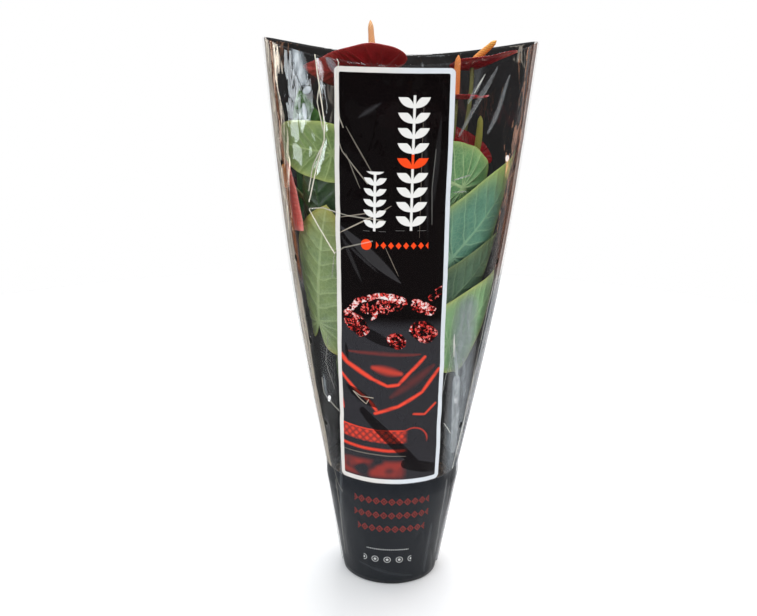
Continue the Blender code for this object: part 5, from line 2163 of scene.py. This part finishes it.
        blade = Blade(
            SPATHE_OUTLINE, place, self.spathe_thickness, waves=0.0022, pillow=0.0007, rib=0.0003,
            seed=number * 1.7, spokes=108, rings=20,
        )
        piece = blade.build(f"flower_spathe_{number}", SPATHE_BACK.make(), SPATHE_FACE.make())
        turn_outward(piece)
        settle(piece, "spathe", f"spathe_{number}")
        self.pieces.append(piece)
        way = Vector(spec.rise).normalized()
        room = self.spadix_radius * math.sqrt(max(0.0, 1 - way.dot(face_way) ** 2))
        seat = base + face_way * (self.spathe_thickness + self.gap + room)
        self.build_spadix(number, seat, way, spec.length, spec.tone)
        arrive = (0.35 * face_way + Vector((0, 0, 1))).normalized()
        room = self.peduncle_radius * math.sqrt(max(0.0, 1 - arrive.dot(face_way) ** 2))
        self.build_peduncle(number, base - face_way * (self.gap + room), arrive, spec.root)

    def build_pressed(self, number: int, spec: PressedSpec) -> None:
        """Builds the flower that the film holds flat.

        Args:
            number: the flower's number.
            spec: its place.
        """
        toward = self.against_film(
            spec.azimuth, spec.height, spec.heading, spec.reach, spec.breadth, (spec.depth, spec.tip_depth)
        )

        def place(across: Array, along: Array, inward: Array) -> Array:
            """Points of the spathe, whose second side is the one nearer the film."""
            return toward(across, along, -inward)

        blade = Blade(
            SPATHE_OUTLINE, place, self.spathe_thickness, waves=0.0008, pillow=0.0004, seed=3.3, spokes=108,
        )
        piece = blade.build(f"flower_spathe_{number}", SPATHE_BACK.make(), YOUNG_SPATHE.make())
        turn_outward(piece)
        settle(piece, "spathe", f"spathe_{number}")
        self.pieces.append(piece)
        middle = spec.depth - self.spathe_thickness - self.gap - self.spadix_radius
        seat = Vector(self.form.point(spec.azimuth, spec.height, middle))
        way = (Vector(self.form.point(spec.azimuth, spec.height + spec.length, middle)) - seat).normalized()
        self.build_spadix(number, seat, way, spec.length, SpadixTone.YOLK)
        arrive = (self.form.outward(spec.azimuth, spec.height) + Vector((0, 0, 1))).normalized()
        inset = spec.depth + 2 * self.gap + self.peduncle_radius
        end = Vector(self.form.point(spec.azimuth, spec.height, inset))
        self.build_peduncle(number, end, arrive, spec.root)

    def build_peduncle(self, number: int, end: Vector, arrive: Vector, azimuth: float) -> None:
        """Builds a flower's stalk.

        Args:
            number: the flower's number.
            end: where it meets the spathe.
            arrive: its direction there.
            azimuth: of its root on the stem.
        """
        root = self.root(self.peduncle_ring, azimuth)
        rise = end.z - root.z
        lean = Vector((0, 0, 0.45 * rise))
        stalk = Stalk(root, lean, end, arrive * (0.25 * rise), self.peduncle_radius, seed=number * 2.3)
        piece = stalk.build(f"flower_stalk_{number}", FLOWER_STALK)
        settle(piece, "stalk", f"peduncle_{number}")
        self.pieces.append(piece)

    def build(self) -> list[bpy.types.Object]:
        """Builds the whole plant.

        Returns:
            Its pieces.
        """
        for number, spec in enumerate(LEAVES, start=1):
            self.build_leaf(number, spec)
        for number, spec in enumerate(FLOWERS, start=1):
            self.build_flower(number, spec)
        self.build_pressed(len(FLOWERS) + 1, PressedSpec())
        return self.pieces


# ------------------------------------------------------------------ camera, light and floor


@dataclass
class Studio:
    """The camera, a pale floor and soft lights round the object."""

    distance: float = 0.88
    sideways: float = -0.0145
    height: float = 0.50
    pitch: float = 15.9
    roll: float = 0.95
    lens: float = 49.13
    floor_radius: float = 1.15

    def build_camera(self) -> None:
        """Sets the camera in front of the object, above it and looking down."""
        data = bpy.data.cameras.new("camera")
        data.sensor_width = 36.0
        data.lens = self.lens
        data.clip_start = 0.02
        camera = bpy.data.objects.new("camera", data)
        bpy.context.scene.collection.objects.link(camera)
        tilt = Matrix.Rotation(math.radians(90 - self.pitch), 4, "X")
        turn = tilt @ Matrix.Rotation(math.radians(self.roll), 4, "Z")
        camera.matrix_world = Matrix.Translation((self.sideways, -self.distance, self.height)) @ turn
        bpy.context.scene.camera = camera

    def build_floor(self) -> None:
        """Lays a round floor: pale to see and to light by, painted near black where glossy things mirror it.
        """
        angles = np.linspace(0, 2 * math.pi, 96, endpoint=False)
        rim = np.stack([np.cos(angles), np.sin(angles), np.zeros(96)], axis=-1) * self.floor_radius
        material, sketch, shader = start_material("floor_paint")
        place = sketch.node("TexCoord").outputs["Object"]
        patch = sketch.effect(mottle_effect(), Place=place, Scale=6.0, Contrast=0.5)
        colour = sketch.blend(patch["Amount"], shade(0.86, 0.86, 0.86), shade(0.90, 0.90, 0.90))
        away = sketch.vector("LENGTH", place)
        # Painted reflection: glossy rays see the floor near black, darker further from the middle.
        mirrored = sketch.node("LightPath").outputs["Is Glossy Ray"]
        dark = sketch.add(0.65, sketch.times(sketch.rise(away, 0.06, 0.30), 0.33))
        colour = sketch.blend(sketch.times(mirrored, dark), colour, shade(0.01, 0.01, 0.012))
        sketch.feed(shader.inputs["Base Color"], colour)
        shader.inputs["Roughness"].default_value = 0.7
        floor = add_piece("floor", rim, [tuple(range(96))], [material])

    def build_world(self) -> None:
        """Sets a pale surround that is dimmer for what it lights than for what it shows."""
        world = bpy.data.worlds.new("surround")
        world.use_nodes = True
        bpy.context.scene.world = world
        sketch = Sketch(world.node_tree)
        _, _, up = sketch.split(sketch.node("TexCoord").outputs["Generated"])
        path = sketch.node("LightPath").outputs
        sky = sketch.blend(sketch.rise(up, -0.02, 0.22), shade(0.30, 0.30, 0.32), shade(0.70, 0.72, 0.75))
        upper = shade(0.30, 0.32, 0.35)
        mirrored = sketch.blend(sketch.rise(up, 0.10, 0.60), shade(0.030, 0.032, 0.036), upper)
        sky = sketch.blend(path["Is Glossy Ray"], sky, mirrored)
        seen = path["Is Camera Ray"]
        background = world.node_tree.nodes["Background"]
        sketch.feed(background.inputs["Color"], sketch.blend(seen, sky, shade(1.0, 1.0, 1.0)))
        background.inputs["Strength"].default_value = 1.0

    def add_light(
        self, name: str, at: Vector, aim: Vector, size: tuple[float, float], power: float, tint: Colour,
        mirrored: bool = True,
    ) -> None:
        """Hangs one soft box.

        Args:
            name: the light's name.
            at: its place.
            aim: what it faces.
            size: its width and height.
            power: in watts.
            tint: its colour.
            mirrored: whether glossy things mirror it.
        """
        data = bpy.data.lights.new(name, "AREA")
        data.shape = "RECTANGLE"
        data.size, data.size_y = size
        data.energy = power
        data.color = tint[:3]
        light = bpy.data.objects.new(name, data)
        light.location = at
        light.rotation_euler = (aim - at).to_track_quat("-Z", "Y").to_euler()
        light.visible_camera = False
        light.visible_glossy = mirrored
        bpy.context.scene.collection.objects.link(light)

    def build(self, box: tuple[Vector, Vector]) -> None:
        """Builds the whole stage.

        Args:
            box: the object's lowest and highest corners.
        """
        scene = bpy.context.scene
        scene.view_settings.view_transform = "Standard"
        self.build_camera()
        self.build_floor()
        self.build_world()
        middle = (box[0] + box[1]) / 2
        high = Vector((0, 0, box[1].z))
        cool = shade(0.88, 0.95, 1.0)
        warm = shade(1.0, 0.90, 0.76)
        self.add_light("key", Vector((-1.1, -1.4, 1.5)), middle, (0.9, 0.7), 9, cool)
        self.add_light("front", Vector((0.2, -2.4, 2.1)), middle, (2.2, 1.6), 26, shade(1, 1, 1), False)
        self.add_light("fill", Vector((1.5, -1.0, 0.9)), middle, (0.5, 0.9), 4, warm)
        self.add_light("top", Vector((0.1, 0.35, 1.7)), high, (1.0, 1.0), 26, shade(1, 1, 1))
        self.add_light("window", Vector((-1.45, 0.12, 0.17)), high, (0.42, 0.22), 2, cool)
        self.add_light("left_card", Vector((-0.9, 0.75, 0.45)), middle, (0.16, 1.0), 1.6, warm)
        rust = shade(0.75, 0.36, 0.20)
        self.add_light("right_card", Vector((0.95, 0.70, 0.45)), middle, (0.14, 1.0), 1.4, rust)


def main() -> None:
    """Builds the stage, the pot, the plant and the sleeve, and reports each piece."""
    logging.basicConfig(level=logging.INFO, format="%(message)s")
    Studio().build(CAD_BOX)
    form = SleeveForm.from_frame()
    LOG.info("mouth half width %.4f m, half depth %.4f m", form.mouth_half_width, form.mouth_half_depth)
    planting = Planting(form)
    Pot(form).build()
    planting.build_soil()
    planting.build_crumbs()
    planting.build_crown()
    Plant(form, planting.top).build()
    front = FilmFinish(Side.FRONT, creases=FRONT_CREASES, reflection_strokes=FRONT_REFLECTIONS)
    back = FilmFinish(Side.BACK, creases=BACK_CREASES, reflection_strokes=BACK_REFLECTIONS, band=0.25)
    FilmSheet(form, Side.FRONT, front).build()
    FilmSheet(form, Side.BACK, back).build()


if __name__ == "__main__":
    main()
